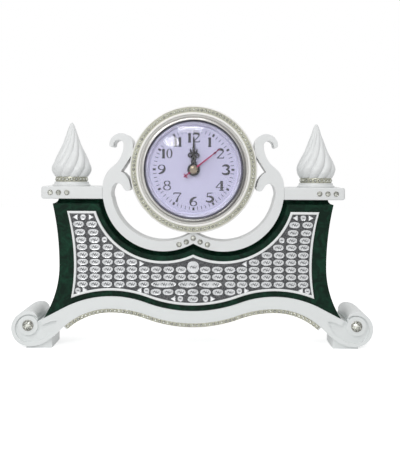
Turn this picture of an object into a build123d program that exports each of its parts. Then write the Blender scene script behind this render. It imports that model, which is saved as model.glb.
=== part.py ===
from build123d import *
import os
from math import acos, asin, atan2, ceil, cos, degrees, pi, radians, sin, sqrt

os.makedirs("parts", exist_ok=True)

# A mantel clock: a round insert clock in a white ring, held by a lyre with two ledges and
# flame finials, on a dark waisted body that stands on an arched rail with rolled feet.
# Lengths are in millimetres, and a name that ends in _turn is in degrees.
# X runs to the right, Y from front to back and Z up from the table.

# Rail and its arch
rail_mid_top = 26.25
rail_mid_under = 14.85
rail_depth = 39.0
top_sag_r = 95.65
top_crest_r = 70.0
crest_x = 57.3
top_fall_turn = 27.9
under_sag_r = 95.0
under_crest_r = 71.7
under_fall_r = 45.0
rail_stone_strip = 2.9
rail_stone_count = 63

# Foot scrolls
scroll_x = 114.2
scroll_r = 12.4
scroll_lift = 1.4
scroll_depth = 54.5
curl_r = 5.74
curl_end_turn = 200.0
toe_reach = 11.0
foot_block_inner = 98.5
foot_block_outer = 116.3
foot_block_height = 8.0
foot_block_depth = 36.0
foot_block_setback = 2.0
channel_r = 9.8
channel_hub_r = 6.9
channel_depth = 1.6
tail_tip = (-19.3, 5.6)
tail_under = (-12.9, -5.1)
tail_root = (-2.5, -9.4)
tail_neck = (-7.9, 1.2)
tail_over = (-13.3, 4.1)
eye_right = 0.7
eye_up = 2.2
foot_stone_r = 3.9
foot_stone_rise = 1.8

# Dark body
body_setback = 1.5
body_depth = 36.5
body_waist_x = 93.5
body_waist_z = 57.5
body_foot_x = 104.3
body_shoulder_x = 98.4
cove_height = 3.3
cove_sink = 4.5
cove_side_sink = 3.6

# Ledges and lyre
ledge_under = 104.5
ledge_height = 8.7
ledge_reach = 106.3
ledge_depth = 36.0
ledge_round = 1.8
lyre_side_gap = 19.0
lyre_outer_r = 42.4
lyre_band = 6.4
lyre_overlap = 1.0
lyre_rise = 6.0
lyre_inner_right = 0.3
lyre_inner_up = 0.7
lyre_depth = 27.0
hook_r = 8.2
hook_bore_r = 3.5
hook_bore_right = 8.1
hook_tip_r = 1.45
hook_height = 29.1
hook_shank = 5.8
hook_flank_r = 17.8
hook_flank_turn = 50.0

# Claws of the lyre, measured outwards from the ring's side and up from the ledge's top
claw_notch = (6.3, 10.6)
claw_crown = (1.8, 6.4)
claw_grip = (-0.1, 0.8)
claw_under = (0.6, -2.6)
claw_tip = (3.3, -2.6)
claw_heel = (5.6, 0.7)
bow_crown = (8.8, 2.4)
bow_end = (12.2, -0.6)
bow_foot = (13.1, -4.7)

# Ring
ring_r = 44.4
ring_proud = 3.0
ring_depth = 29.0
ring_round = 0.6
seat_bite = 1.2
stone_channel_outer = 43.5
stone_channel_inner = 39.9
stone_channel_depth = 1.3
ridge_inner = 38.2
bead_inner = 36.95
bead_sink = 0.9
insert_seat_sink = 1.6
ring_stone_count = 96

# Insert clock
insert_bore_r = 32.6
bezel_r = 36.4
bezel_edge = 0.9
bezel_rise = 2.3
bezel_lip = 1.3
bezel_flat = 1.0
glass_r = 34.1
glass_seat = 1.0
glass_ledge = 0.6
glass_thick = 1.2
glass_rise = 3.6
glass_bands = 3
glass_band = 0.27
sight_lip = 0.9
dial_sink = 1.6
dial_thick = 0.6
skirt_r = 31.9
skirt_wall = 0.6
skirt_length = 6.0
shell_wall = 1.2
shell_back_thick = 1.5
bore_play = 0.1
slip = 0.05
push_fit = 0.02

# Movement
movement_r = 27.0
movement_sides = 12
movement_wall = 1.0
plate_thick = 1.2
cover_thick = 1.2
wheel_width = 0.8
wheel_step = 1.2
wheel_start = 0.4
wheel_levels = 7
arbor_r = 0.5
pivot_length = 0.9
cannon_wall = 0.65
hour_wall = 0.75
bush_wall = 1.15
bush_proud = 0.4

# Going train and motion work: teeth, modules and where each wheel lies
rotor_teeth = 6
step_teeth = 30
step_leaves = 6
seconds_teeth = 36
seconds_leaves = 6
third_teeth = 45
third_leaves = 6
centre_teeth = 48
cannon_teeth = 10
motion_teeth = 30
motion_leaves = 10
hour_teeth = 40
knob_teeth = 10
rotor_module = 0.33
step_module = 0.40
centre_module = 0.31
cannon_module = 0.35
tooth_rise = 0.85
tooth_drop = 1.15
third_turn = 180.0
step_turn = 25.0
rotor_turn = 60.0
motion_turn = -60.0
knob_turn = -60.0

# Cell, hatch, knob and drive
cell_x = -9.0
cell_z = -15.5
cell_r = 5.8
cell_thick = 5.4
cell_play = 0.2
cell_wall = 0.9
cell_sink = 0.3
leaf_width = 3.0
leaf_length = 6.0
leaf_thick = 0.3
hatch_r = 7.1
hatch_lug_reach = 1.2
hatch_lug_thick = 0.6
hatch_lug_turn = 22.0
hatch_travel_turn = 45.0
hatch_entry_turn = 2.0
coin_slot_length = 9.0
coin_slot_width = 1.2
coin_slot_depth = 0.6
knob_r = 5.2
knob_stem_r = 1.3
knob_gap = 0.3
knob_thick = 2.4
knob_ribs = 14
knob_groove = 0.07
magnet_r = 2.5
magnet_start = 2.0
magnet_length = 3.0
stator_at = 3.0
stator_thick = 0.8
stator_hole_r = 3.0
stator_ring_r = 4.6
stator_arm_width = 3.0
coil_x = 2.0
coil_z = 18.4
coil_length = 13.0
coil_r = 2.7
coil_play = 0.2
core_width = 2.0
core_thick = 0.8
board_x = -14.5
board_z = 11.5
board_width = 10.0
board_height = 6.5
board_thick = 0.8
crystal_r = 1.0
crystal_length = 5.0

# Hands
hand_thick = 0.4
hour_gap = 1.0
hand_gap = 0.5
hub_r = 4.05
minute_length = 23.2
minute_width = 1.7
minute_loop_at = 11.5
minute_loop_r = 2.0
hour_length = 14.5
hour_width = 2.0
hour_loop_at = 10.2
hour_loop_r = 2.2
loop_wall = 0.8
loop_sides = 10
hand_tip_share = 0.3
second_tip_share = 0.4
second_length = 23.0
second_width = 0.8
second_tail = 7.5
second_hub_r = 1.5
second_diamond_at = 19.0
second_diamond = 2.0
second_cross = 3.2
second_rest_turn = 51.7
cap_r = 3.05
cap_rise = 1.4
cap_edge = 0.5

# Finials
finial_x = 87.4
finial_back = 18.0
plinth_height = 3.1
plinth_base_r = 13.5
plinth_top_r = 11.9
collar_height = 3.5
collar_r = 10.9
collar_stone_count = 22
flame_height = 38.7
flame_radii = (11.6, 14.2, 11.9, 7.07, 4.3, 0.9)
flame_levels = (0, 0.16, 0.32, 0.576, 0.76, 1)
flame_lobes = 10
flame_turn = 100.0
flame_groove = 0.13
flame_rows = 12

# Plaque
plaque_thick = 1.0
border_width = 1.7
border_thick = 2.2
plaque_bottom_gap = 4.1
plaque_top_gap = 8.5
plaque_lyre_gap = 6.9
plaque_top_x = 88.1
plaque_waist_x = 83.0
plaque_foot_x = 85.0

# Loose stones and stone strips
small_stone_r = 1.9
small_stone_rise = 0.9
foot_stone_sides = 10
small_stone_sides = 8
ledge_stone_first = 88.3
ledge_stone_pitch = 5.8
crescent_stone_turn = 8.0
strip_thick = 0.9
strip_stone_rise = 0.9
strip_play = 0.1
stone_bevel_share = 0.22
stone_share = 0.86
strip_sides = 48

# Small round pieces are made of flats, which leave the true round by no more than this
flat_sag = 0.05

# Places that follow from the driving dimensions
backwards = (0, 1, 0)
forwards = (0, -1, 0)
front_reach = ring_proud - insert_seat_sink + glass_ledge + glass_thick + glass_rise
face_y = (front_reach - scroll_depth) / 2
split_x = crest_x + top_crest_r * sin(radians(top_fall_turn))
scroll_z = scroll_lift + scroll_r
ledge_top = ledge_under + ledge_height
lyre_side = ring_r + lyre_side_gap
lyre_inner_r = lyre_outer_r - lyre_band
lyre_x = lyre_side - lyre_outer_r
lyre_z = ledge_under + lyre_rise
inner_x = lyre_x + lyre_inner_right
inner_z = lyre_z + lyre_inner_up
cusp_z = inner_z - sqrt(lyre_inner_r**2 - inner_x**2)
ring_z = cusp_z - seat_bite + ring_r
ring_front = face_y - ring_proud
ring_back = ring_front + ring_depth
seat_y = ring_front + insert_seat_sink
body_front = face_y + body_setback
dial_front = seat_y + dial_sink
dial_back = dial_front + dial_thick
plate_inner = dial_back + plate_thick
cover_inner = plate_inner + wheel_start + wheel_levels * wheel_step
cover_back = cover_inner + cover_thick
shell_back = cover_back + shell_back_thick
hour_y = dial_front - hour_gap - hand_thick
minute_y = hour_y - hand_gap - hand_thick
second_y = minute_y - hand_gap - hand_thick
cannon_bore = arbor_r + slip
cannon_r = cannon_bore + cannon_wall
hour_bore = cannon_r + slip
hour_r = hour_bore + hour_wall
bush_bore = hour_r + slip
bush_r = bush_bore + bush_wall
clock_axis = Axis((0, 0, ring_z), backwards)
turning_plane = Plane(origin=(0, 0, ring_z), x_dir=(1, 0, 0), z_dir=(0, 0, 1))


def upright(y, x=0.0, z=0.0):
    """Plane that faces the viewer at depth y, with its origin at x and z."""
    return Plane(origin=(x, y, z), x_dir=(1, 0, 0), z_dir=forwards)


def save(piece, label):
    """Name a finished piece and write it."""
    piece.part.label = label
    export_step(piece.part, f"parts/{label}.step")


def turned(*outline):
    """Section of a piece turned about the clock's axis, from pairs of radius and depth."""
    with BuildSketch(turning_plane) as section:
        Polygon(*outline, align=None)
    return section.sketch


def flats(radius):
    """Count of flats that keeps a round outline within the allowed sag."""
    return ceil(pi / acos(1 - flat_sag / radius))


def round_face(radius, mode=Mode.ADD):
    """Round outline of flats, inside the true round of a piece and outside that of a hole."""
    RegularPolygon(radius, flats(radius), major_radius=mode == Mode.ADD, mode=mode)


def disc(radius, start, end, at=(0, 0), mode=Mode.ADD):
    """Round piece or hole along the depth, centred at a place given from the clock's centre."""
    with BuildSketch(upright(start, at[0], ring_z + at[1])) as face:
        RegularPolygon(radius, flats(radius), major_radius=mode == Mode.ADD)
    extrude(face.sketch, amount=end - start, dir=backwards, mode=mode)


def tapered(radii, depths, mode=Mode.ADD):
    """Round piece or hole about the clock's axis, made of flats, with a radius at each depth."""
    sections = []
    for radius, depth in zip(radii, depths):
        with BuildSketch(upright(depth, 0, ring_z)) as section:
            RegularPolygon(radius, flats(max(radii)), major_radius=mode == Mode.ADD)
        sections.append(section.sketch)
    loft(sections, ruled=True, mode=mode)


def polar(distance, turn, origin=(0, 0)):
    """Place at a distance and a direction from another place."""
    return (origin[0] + distance * cos(radians(turn)), origin[1] + distance * sin(radians(turn)))


def level(number):
    """Depth at which the wheels of a level start, counted from one behind the front plate."""
    return plate_inner + wheel_start + (number - 1) * wheel_step


def wheel(teeth, module, phase_turn, at, number):
    """Toothed wheel on a level, with one tooth at the given turn."""
    root_r = (teeth / 2 - tooth_drop) * module
    tip_r = (teeth / 2 + tooth_rise) * module
    outline = []
    for tooth in range(teeth):
        turn = 360 * tooth / teeth
        outline += [polar(tip_r, turn), polar(root_r, turn + 180 / teeth)]
    with BuildSketch(upright(level(number), at[0], ring_z + at[1])) as face:
        Polygon(*outline, rotation=phase_turn, align=None)
    extrude(face.sketch, amount=wheel_width, dir=backwards)


def meshed(phase_turn, teeth, next_teeth, direction_turn):
    """Turn of a tooth on the next wheel that puts a gap of it on a tooth of this wheel."""
    offset = (direction_turn - phase_turn) * teeth / next_teeth
    return direction_turn + 180 + offset + 180 / next_teeth


def arch_top(rise, fall_turn=top_fall_turn):
    """Right half of the rail's top edge, raised by rise, from the centre to a slope past the crest."""
    turn = degrees(asin(crest_x / (top_sag_r + top_crest_r)))
    sag = JernArc((0, rail_mid_top + rise), (1, 0), top_sag_r - rise, turn)
    crest = JernArc(sag @ 1, sag % 1, top_crest_r + rise, -turn - fall_turn)
    return sag, crest


def arch_under(rise):
    """Right half of the rail's lower edge, raised by rise, from the centre to the scroll."""
    turn = degrees(asin(crest_x / (under_sag_r + under_crest_r)))
    fall_turn = degrees(asin((split_x - crest_x) / (under_fall_r + rail_stone_strip)))
    sag = JernArc((0, rail_mid_under + rise), (1, 0), under_sag_r - rise, turn)
    crest = JernArc(sag @ 1, sag % 1, under_crest_r + rise, -turn)
    fall = JernArc(crest @ 1, crest % 1, under_fall_r + rise, -fall_turn)
    return sag, crest, fall


def cut_stone(size, rise, rotation=(90, 0, 0)):
    """Square stone that narrows towards its face, standing on the local plane."""
    edge = size * stone_bevel_share
    seat = (Align.CENTER, Align.MIN, Align.CENTER)
    Wedge(size, rise, size, edge, edge, size - edge, size - edge, rotation=rotation, align=seat)


def faceted(rings):
    """Solid of flat facets between rings of points, closed by its first and last ring."""
    facets = [Face(Wire.make_polygon(rings[0])), Face(Wire.make_polygon(rings[-1]))]
    for low, high in zip(rings, rings[1:]):
        for here in range(len(low)):
            facets.append(Face(Wire.make_polygon([low[here], high[here], high[here - 1]])))
            facets.append(Face(Wire.make_polygon([low[here], high[here - 1], low[here - 1]])))
    return Solid(Shell(facets))


def round_stones(spots, radius, rise, sides):
    """Round cut stones on the case's front, which narrow towards their faces."""
    for x, z in spots:
        rings = []
        for reach, y in ((radius, face_y), (radius * (1 - 2 * stone_bevel_share), face_y - rise)):
            corners = [polar(reach, 360 * corner / sides, (x, z)) for corner in range(sides)]
            rings.append([Vector(corner[0], y, corner[1]) for corner in corners])
        add(faceted(rings))


# Ends of the rail, where the scrolls take over
split_top = arch_top(0)[1] @ 1
split_under = arch_under(rail_stone_strip)[2] @ 1
split_under_way = arch_under(rail_stone_strip)[2] % 1
rebate = strip_thick + strip_stone_rise / 2
curl_z = scroll_z + scroll_r - curl_r
curl_end = (scroll_x + curl_r * cos(radians(curl_end_turn)), curl_z + curl_r * sin(radians(curl_end_turn)))

# Rail: its front stops above the stone strip, and the rest reaches down behind the strip
with BuildPart() as base_rail:
    for start, thick, rise in ((face_y, rebate, rail_stone_strip), (face_y + rebate, rail_depth - rebate, 0)):
        with BuildSketch(upright(start)):
            with BuildLine():
                top_line = arch_top(0)
                under_line = arch_under(rise)
                Line(top_line[0] @ 0, under_line[0] @ 0)
                if rise == 0:
                    Line(under_line[2] @ 1, split_under)
                Line(split_under, split_top)
            make_face()
            mirror(about=Plane.YZ)
        extrude(amount=thick, dir=backwards)
save(base_rail, "base_rail")

# Strip of stones in the rail's rebate, along the lower edge
with BuildLine() as strip_line:
    arch_under(rail_stone_strip / 2)
strip_wire = strip_line.wire()
with BuildPart(upright(face_y + strip_stone_rise / 2)) as rail_stone_chain:
    with BuildSketch(upright(face_y + strip_stone_rise / 2)):
        with BuildLine():
            low_line = arch_under(strip_play)
            high_line = arch_under(rail_stone_strip - strip_play)
            Line(low_line[0] @ 0, high_line[0] @ 0)
            Line(low_line[2] @ 1, high_line[2] @ 1)
        make_face()
        mirror(about=Plane.YZ)
    extrude(amount=strip_thick, dir=backwards)
    half_count = rail_stone_count // 2
    stone_pitch = strip_wire.length / (half_count + 0.5)
    for number in range(-half_count, half_count + 1):
        side = -1 if number < 0 else 1
        spot = strip_wire.position_at(abs(number) * stone_pitch / strip_wire.length)
        way = strip_wire.tangent_at(abs(number) * stone_pitch / strip_wire.length)
        tilt = side * degrees(atan2(way.Y, way.X))
        with Locations(Location((side * spot.X, spot.Y, 0), (0, 0, tilt))):
            cut_stone(stone_share * stone_pitch, strip_stone_rise)
save(rail_stone_chain, "rail_stone_chain")

# Foot scroll: the rail's end runs into a volute, which is rolled right through to the back
with BuildPart() as foot_scroll_right:
    for roll_only, depth in ((False, rail_depth), (True, scroll_depth)):
        with BuildSketch(upright(face_y)):
            with BuildLine():
                toe_pull = split_under + split_under_way * toe_reach
                Bezier(split_under, toe_pull, (scroll_x - toe_reach, scroll_lift), (scroll_x, scroll_lift))
                CenterArc((scroll_x, scroll_z), scroll_r, -90, 180)
                CenterArc((scroll_x, curl_z), curl_r, 90, curl_end_turn - 90)
                Polyline(curl_end, split_top, split_under)
            make_face()
            if roll_only:
                with Locations((scroll_x, scroll_z)):
                    Circle(scroll_r, mode=Mode.INTERSECT)
        extrude(amount=depth, dir=backwards)
    with BuildSketch(upright(face_y + foot_block_setback)):
        with Locations((foot_block_inner, 0)):
            Rectangle(foot_block_outer - foot_block_inner, foot_block_height, align=Align.MIN)
    extrude(amount=foot_block_depth, dir=backwards)
    with BuildSketch(upright(face_y, scroll_x, scroll_z)):
        round_face(channel_r)
        with BuildLine():
            ThreePointArc(tail_tip, tail_under, tail_root)
            Line(tail_root, tail_neck)
            ThreePointArc(tail_neck, tail_over, tail_tip)
        make_face()
        with Locations((eye_right, eye_up)):
            round_face(channel_hub_r, mode=Mode.SUBTRACT)
    extrude(amount=channel_depth, dir=backwards, mode=Mode.SUBTRACT)
save(foot_scroll_right, "foot_scroll_right")

with BuildPart() as foot_scroll_left:
    mirror(foot_scroll_right.part, about=Plane.YZ)
save(foot_scroll_left, "foot_scroll_left")

with BuildPart() as foot_stones:
    eyes = [(side * (scroll_x + eye_right), scroll_z + eye_up) for side in (-1, 1)]
    round_stones(eyes, foot_stone_r, foot_stone_rise, foot_stone_sides)
save(foot_stones, "foot_stones")

# Dark body: a main block below the cove, and a neck set back under the ledges and the lyre
lyre_centres = ((lyre_x, lyre_z), (-lyre_x, lyre_z))
fall_slope = (curl_end[1] - split_top.Y) / (curl_end[0] - split_top.X)
body_foot = (body_foot_x, split_top.Y + (body_foot_x - split_top.X) * fall_slope)
neck_x = body_shoulder_x - cove_side_sink
with BuildPart() as panel_body:
    with BuildSketch(upright(body_front)):
        with BuildLine():
            top_line = arch_top(0)
            waist = (body_waist_x, body_waist_z)
            shoulder = (body_shoulder_x, ledge_under - cove_height)
            Line(split_top, body_foot)
            TangentArc(waist, body_foot, tangent=(0, -1))
            TangentArc(waist, shoulder, tangent=(0, 1))
            Polyline(shoulder, (0, ledge_under - cove_height), (0, rail_mid_top))
        make_face()
        mirror(about=Plane.YZ)
        with Locations(*lyre_centres):
            Circle(lyre_outer_r + cove_height, mode=Mode.SUBTRACT)
    extrude(amount=body_depth, dir=backwards)
    with BuildSketch(upright(body_front + cove_sink)):
        with Locations((0, ledge_under)):
            Rectangle(2 * neck_x, 2 * cove_height, align=(Align.CENTER, Align.MAX))
        with Locations(*lyre_centres):
            Circle(lyre_outer_r + 2 * cove_height)
        with Locations((0, ledge_under)):
            Rectangle(2 * neck_x, 2 * lyre_outer_r, align=(Align.CENTER, Align.MAX), mode=Mode.INTERSECT)
        with Locations(*lyre_centres):
            Circle(lyre_outer_r, mode=Mode.SUBTRACT)
    extrude(amount=body_depth - cove_sink, dir=backwards)
save(panel_body, "panel_body")

# Ledges
for side, label in ((-1, "ledge_left"), (1, "ledge_right")):
    with BuildPart() as ledge:
        with BuildSketch(upright(face_y)):
            with Locations((side * (lyre_side + ledge_reach) / 2, ledge_under)):
                Rectangle(ledge_reach - lyre_side, ledge_height, align=(Align.CENTER, Align.MIN))
        extrude(amount=ledge_depth, dir=backwards)
        end_face = ledge.faces().sort_by(Axis.X)[-1 if side > 0 else 0]
        fillet(end_face.edges(), radius=ledge_round)
    save(ledge, label)

# Lyre: two overlapping crescents, with a small inner hook and a tall hook on each side
def by_claw(place):
    """Place on the right claw's outline, in the case's own coordinates."""
    return (ring_r + place[0], ledge_top + place[1])


with BuildPart() as lyre_frame:
    with BuildSketch(upright(face_y)):
        with Locations(*lyre_centres):
            Circle(lyre_outer_r)
        with Locations((inner_x, inner_z), (-inner_x, inner_z)):
            Circle(lyre_inner_r, mode=Mode.SUBTRACT)
        with Locations((0, ledge_under + lyre_overlap)):
            Rectangle(2 * lyre_side, 2 * lyre_outer_r, align=(Align.CENTER, Align.MAX), mode=Mode.INTERSECT)
        with BuildLine():
            inner_foot = (inner_x + sqrt(lyre_inner_r**2 - (inner_z - ledge_under) ** 2), ledge_under)
            Polyline(inner_foot, (lyre_side, ledge_under), (lyre_side, ledge_top))
            hook_z = ledge_top + hook_height
            bore_x = ring_r + hook_bore_right
            tip_x = bore_x + hook_bore_r + hook_tip_r
            outer_x = tip_x + hook_tip_r - hook_r
            inner_x_low = outer_x - hook_r
            flank = JernArc((lyre_side, ledge_top), (0, 1), hook_flank_r, hook_flank_turn)
            TangentArc((bore_x - hook_bore_r, hook_z), flank @ 1, tangent=(0, -1))
            CenterArc((bore_x, hook_z), hook_bore_r, 180, -180)
            CenterArc((tip_x, hook_z), hook_tip_r, 180, 180)
            CenterArc((outer_x, hook_z), hook_r, 0, 180)
            Polyline((inner_x_low, hook_z), (inner_x_low, hook_z - hook_shank), by_claw(claw_notch))
            ThreePointArc(by_claw(claw_notch), by_claw(claw_crown), by_claw(claw_grip))
            ThreePointArc(by_claw(claw_grip), by_claw(claw_under), by_claw(claw_tip))
            Line(by_claw(claw_tip), by_claw(claw_heel))
            ThreePointArc(by_claw(claw_heel), by_claw(bow_crown), by_claw(bow_end))
            ThreePointArc(by_claw(bow_end), by_claw(bow_foot), inner_foot)
        make_face()
        mirror(about=Plane.YZ)
        with Locations((0, ring_z)):
            Circle(ring_r, mode=Mode.SUBTRACT)
    extrude(amount=lyre_depth, dir=backwards)
save(lyre_frame, "lyre_frame")

# Ring: stone channel, ridge, bed of the bead moulding and seat of the insert
with BuildPart() as clock_ring:
    ring_section = turned(
        (insert_bore_r, ring_back),
        (ring_r - ring_round, ring_back),
        (ring_r, ring_back - ring_round),
        (ring_r, ring_front + ring_round),
        (ring_r - ring_round, ring_front),
        (stone_channel_outer, ring_front),
        (stone_channel_outer, ring_front + stone_channel_depth),
        (stone_channel_inner, ring_front + stone_channel_depth),
        (stone_channel_inner, ring_front),
        (ridge_inner, ring_front),
        (ridge_inner, ring_front + bead_sink),
        (bead_inner, ring_front + bead_sink),
        (bezel_r + bore_play, seat_y),
        (insert_bore_r, seat_y),
    )
    revolve(ring_section, axis=clock_axis)
save(clock_ring, "clock_ring")

channel_floor = ring_front + stone_channel_depth
strip_front = channel_floor - strip_thick
with BuildPart(upright(strip_front, 0, ring_z)) as ring_stone_chain:
    with BuildSketch(upright(strip_front, 0, ring_z)):
        RegularPolygon(stone_channel_outer - strip_play, strip_sides)
        RegularPolygon(stone_channel_inner + strip_play, strip_sides, major_radius=False, mode=Mode.SUBTRACT)
    extrude(amount=strip_thick, dir=backwards)
    channel_mid = (stone_channel_outer + stone_channel_inner) / 2
    with PolarLocations(channel_mid, ring_stone_count):
        cut_stone(stone_share * radians(360 / ring_stone_count) * channel_mid, strip_stone_rise)
save(ring_stone_chain, "ring_stone_chain")

# Single stones: three on each ledge end, five under the ring
with BuildPart() as ledge_stones:
    across = [ledge_stone_first + number * ledge_stone_pitch for number in range(3)]
    spots = [(side * reach, ledge_under + ledge_height / 2) for side in (-1, 1) for reach in across]
    round_stones(spots, small_stone_r, small_stone_rise, small_stone_sides)
save(ledge_stones, "ledge_stones")

band_mid_r = (lyre_outer_r + lyre_inner_r) / 2
band_low_turn = -90 - degrees(asin(lyre_x / band_mid_r))
with BuildPart() as crescent_stones:
    spots = [polar(band_mid_r, band_low_turn, (lyre_x, lyre_z))]
    for number in (1, 2):
        spot = polar(band_mid_r, band_low_turn + number * crescent_stone_turn, (lyre_x, lyre_z))
        spots += [spot, (-spot[0], spot[1])]
    round_stones(spots, small_stone_r, small_stone_rise, small_stone_sides)
save(crescent_stones, "crescent_stones")

# Finials: flared plinth, collar of stones and a flame of twisted lobes
finial_y = face_y + finial_back
collar_z = ledge_top + plinth_height
flame_z = collar_z + collar_height
collar_half_turn = 180 / collar_stone_count
collar_flat_r = collar_r * cos(radians(collar_half_turn))
collar_stone = 2 * stone_share * radians(collar_half_turn) * collar_r
plinth_taper = degrees(atan2(plinth_base_r - plinth_top_r, plinth_height))
with BuildLine() as flame_profile:
    Spline(*[(radius, share * flame_height) for radius, share in zip(flame_radii, flame_levels)])
for side, hand in ((-1, "left"), (1, "right")):
    with BuildPart() as plinth:
        with BuildSketch(Plane(origin=(side * finial_x, finial_y, ledge_top))):
            round_face(plinth_base_r)
        extrude(amount=plinth_height, taper=plinth_taper)
    save(plinth, f"finial_plinth_{hand}")

    collar_plane = Plane(origin=(side * finial_x, finial_y, collar_z + collar_height / 2))
    with BuildPart(collar_plane) as collar:
        with BuildSketch(Plane(origin=(side * finial_x, finial_y, collar_z))):
            RegularPolygon(collar_r, collar_stone_count)
        extrude(amount=collar_height)
        with PolarLocations(collar_flat_r, collar_stone_count, start_angle=collar_half_turn):
            cut_stone(collar_stone, strip_stone_rise, rotation=(0, 0, -90))
    save(collar, f"finial_chain_{hand}")

    rings = []
    for number in range(flame_rows):
        spot = flame_profile.wire().position_at(number / (flame_rows - 1))
        turn = flame_turn * spot.Y / flame_height
        ring = []
        for corner in range(2 * flame_lobes):
            reach = spot.X * (1 - flame_groove * (corner % 2))
            across, back = polar(reach, turn + 180 * corner / flame_lobes)
            ring.append(Vector(side * finial_x + across, finial_y + back, flame_z + spot.Y))
        rings.append(ring)
    with BuildPart() as flame:
        add(faceted(rings))
    save(flame, f"finial_flame_{hand}")


def plaque_face(y, inset):
    """Front outline of the plaque at depth y, drawn in by inset all round."""
    reach = plaque_foot_x - inset - crest_x
    fall_turn = degrees(asin(reach / (top_crest_r + plaque_bottom_gap + inset)))
    top = ledge_under - plaque_top_gap - inset
    with BuildSketch(upright(y)) as face:
        with BuildLine():
            low_line = arch_top(plaque_bottom_gap + inset, fall_turn)
            waist = (plaque_waist_x - inset, body_waist_z)
            TangentArc(waist, low_line[1] @ 1, tangent=(0, -1))
            TangentArc(waist, (plaque_top_x - inset, top), tangent=(0, 1))
            Polyline((plaque_top_x - inset, top), (0, top), low_line[0] @ 0)
        make_face()
        mirror(about=Plane.YZ)
        with Locations(*lyre_centres):
            Circle(lyre_outer_r + plaque_lyre_gap + inset, mode=Mode.SUBTRACT)
    return face.sketch


with BuildPart() as plaque_plate:
    extrude(plaque_face(body_front, border_width), amount=plaque_thick, dir=forwards)
save(plaque_plate, "plaque_plate")

with BuildPart() as plaque_border:
    extrude(plaque_face(body_front, 0), amount=border_thick, dir=forwards)
    extrude(plaque_face(body_front, border_width), amount=border_thick, dir=forwards, mode=Mode.SUBTRACT)
save(plaque_border, "plaque_border")

# Insert: bezel with its ledge for the glass, sloped sight and rear skirt
skirt_bore = skirt_r - skirt_wall
glass_back = seat_y - glass_ledge
glass_ledge_r = glass_r - glass_seat
crest_r = (bezel_r + glass_r) / 2
crest_y = seat_y - bezel_rise
lip_y = seat_y - bezel_lip
rim_r = glass_r + slip
with BuildPart() as bezel:
    tapered((bezel_r, bezel_r, crest_r + bezel_flat / 2), (seat_y, seat_y - bezel_edge, crest_y))
    disc(skirt_r, seat_y, seat_y + skirt_length)
    tapered((crest_r - bezel_flat / 2, rim_r), (crest_y, lip_y), mode=Mode.SUBTRACT)
    disc(rim_r, lip_y, glass_back, mode=Mode.SUBTRACT)
    sight_radii = (glass_ledge_r, skirt_bore, skirt_bore - sight_lip)
    tapered(sight_radii, (glass_back, seat_y, dial_front), mode=Mode.SUBTRACT)
    disc(skirt_bore, dial_front, seat_y + skirt_length, mode=Mode.SUBTRACT)
save(bezel, "bezel")

# Domed glass, with the same dome before and behind
def dome(edge_r, edge_y, mode=Mode.ADD):
    """Low dome that bulges forwards from its edge to a flat crown."""
    shares = [1 - band * glass_band for band in range(glass_bands + 1)]
    rises = [glass_rise * (1 - share**2) / (1 - shares[-1] ** 2) for share in shares]
    tapered([share * edge_r for share in shares], [edge_y - rise for rise in rises], mode=mode)


with BuildPart() as lens:
    disc(glass_r, glass_back - glass_thick, glass_back)
    dome(glass_r, glass_back - glass_thick)
    dome(glass_ledge_r, glass_back, mode=Mode.SUBTRACT)
save(lens, "lens")

with BuildPart() as gasket_band:
    disc(insert_bore_r - bore_play, seat_y + bore_play, seat_y + skirt_length)
    disc(skirt_r, seat_y + bore_play, seat_y + skirt_length, mode=Mode.SUBTRACT)
save(gasket_band, "gasket_band")

with BuildPart() as dial:
    disc(skirt_bore - push_fit, dial_front, dial_back)
    disc(bush_r + push_fit, dial_front, dial_back, mode=Mode.SUBTRACT)
save(dial, "dial")

# Centres of the wheels, from the clock's centre
centre = (0, 0)
motion_distance = (cannon_teeth + motion_teeth) * cannon_module / 2
hour_module = 2 * motion_distance / (hour_teeth + motion_leaves)
third_distance = (centre_teeth + third_leaves) * centre_module / 2
third_module = 2 * third_distance / (third_teeth + seconds_leaves)
step_distance = (seconds_teeth + step_leaves) * step_module / 2
rotor_distance = (step_teeth + rotor_teeth) * rotor_module / 2
knob_distance = (motion_teeth + knob_teeth) * cannon_module / 2
motion_at = polar(motion_distance, motion_turn)
third_at = polar(third_distance, third_turn)
step_at = polar(step_distance, step_turn)
rotor_at = polar(rotor_distance, rotor_turn, step_at)
knob_at = polar(knob_distance, knob_turn, motion_at)
cell_at = (cell_x, cell_z)
cell_back = cover_inner + cell_sink
cell_front = cell_back - cell_thick
well_r = cell_r + cell_play
hatch_front = cover_back + slip

# Movement: front plate with the bush and the motion wheel's post, and a cup behind it
def movement_block(radius, start, end, mode=Mode.ADD):
    """Block of the movement's many-sided plan along the depth."""
    with BuildSketch(upright(start, 0, ring_z)) as face:
        RegularPolygon(radius, movement_sides)
    extrude(face.sketch, amount=end - start, dir=backwards, mode=mode)


with BuildPart() as movement_plate:
    movement_block(movement_r, dial_back, plate_inner)
    disc(bush_r, dial_front - bush_proud, dial_back)
    disc(bush_bore, dial_front - bush_proud, plate_inner, mode=Mode.SUBTRACT)
    disc(arbor_r, plate_inner, level(2) + wheel_width, motion_at)
    for spot in (third_at, step_at, rotor_at, knob_at):
        disc(arbor_r + slip, dial_back, plate_inner, spot, mode=Mode.SUBTRACT)
save(movement_plate, "movement_plate")

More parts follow.
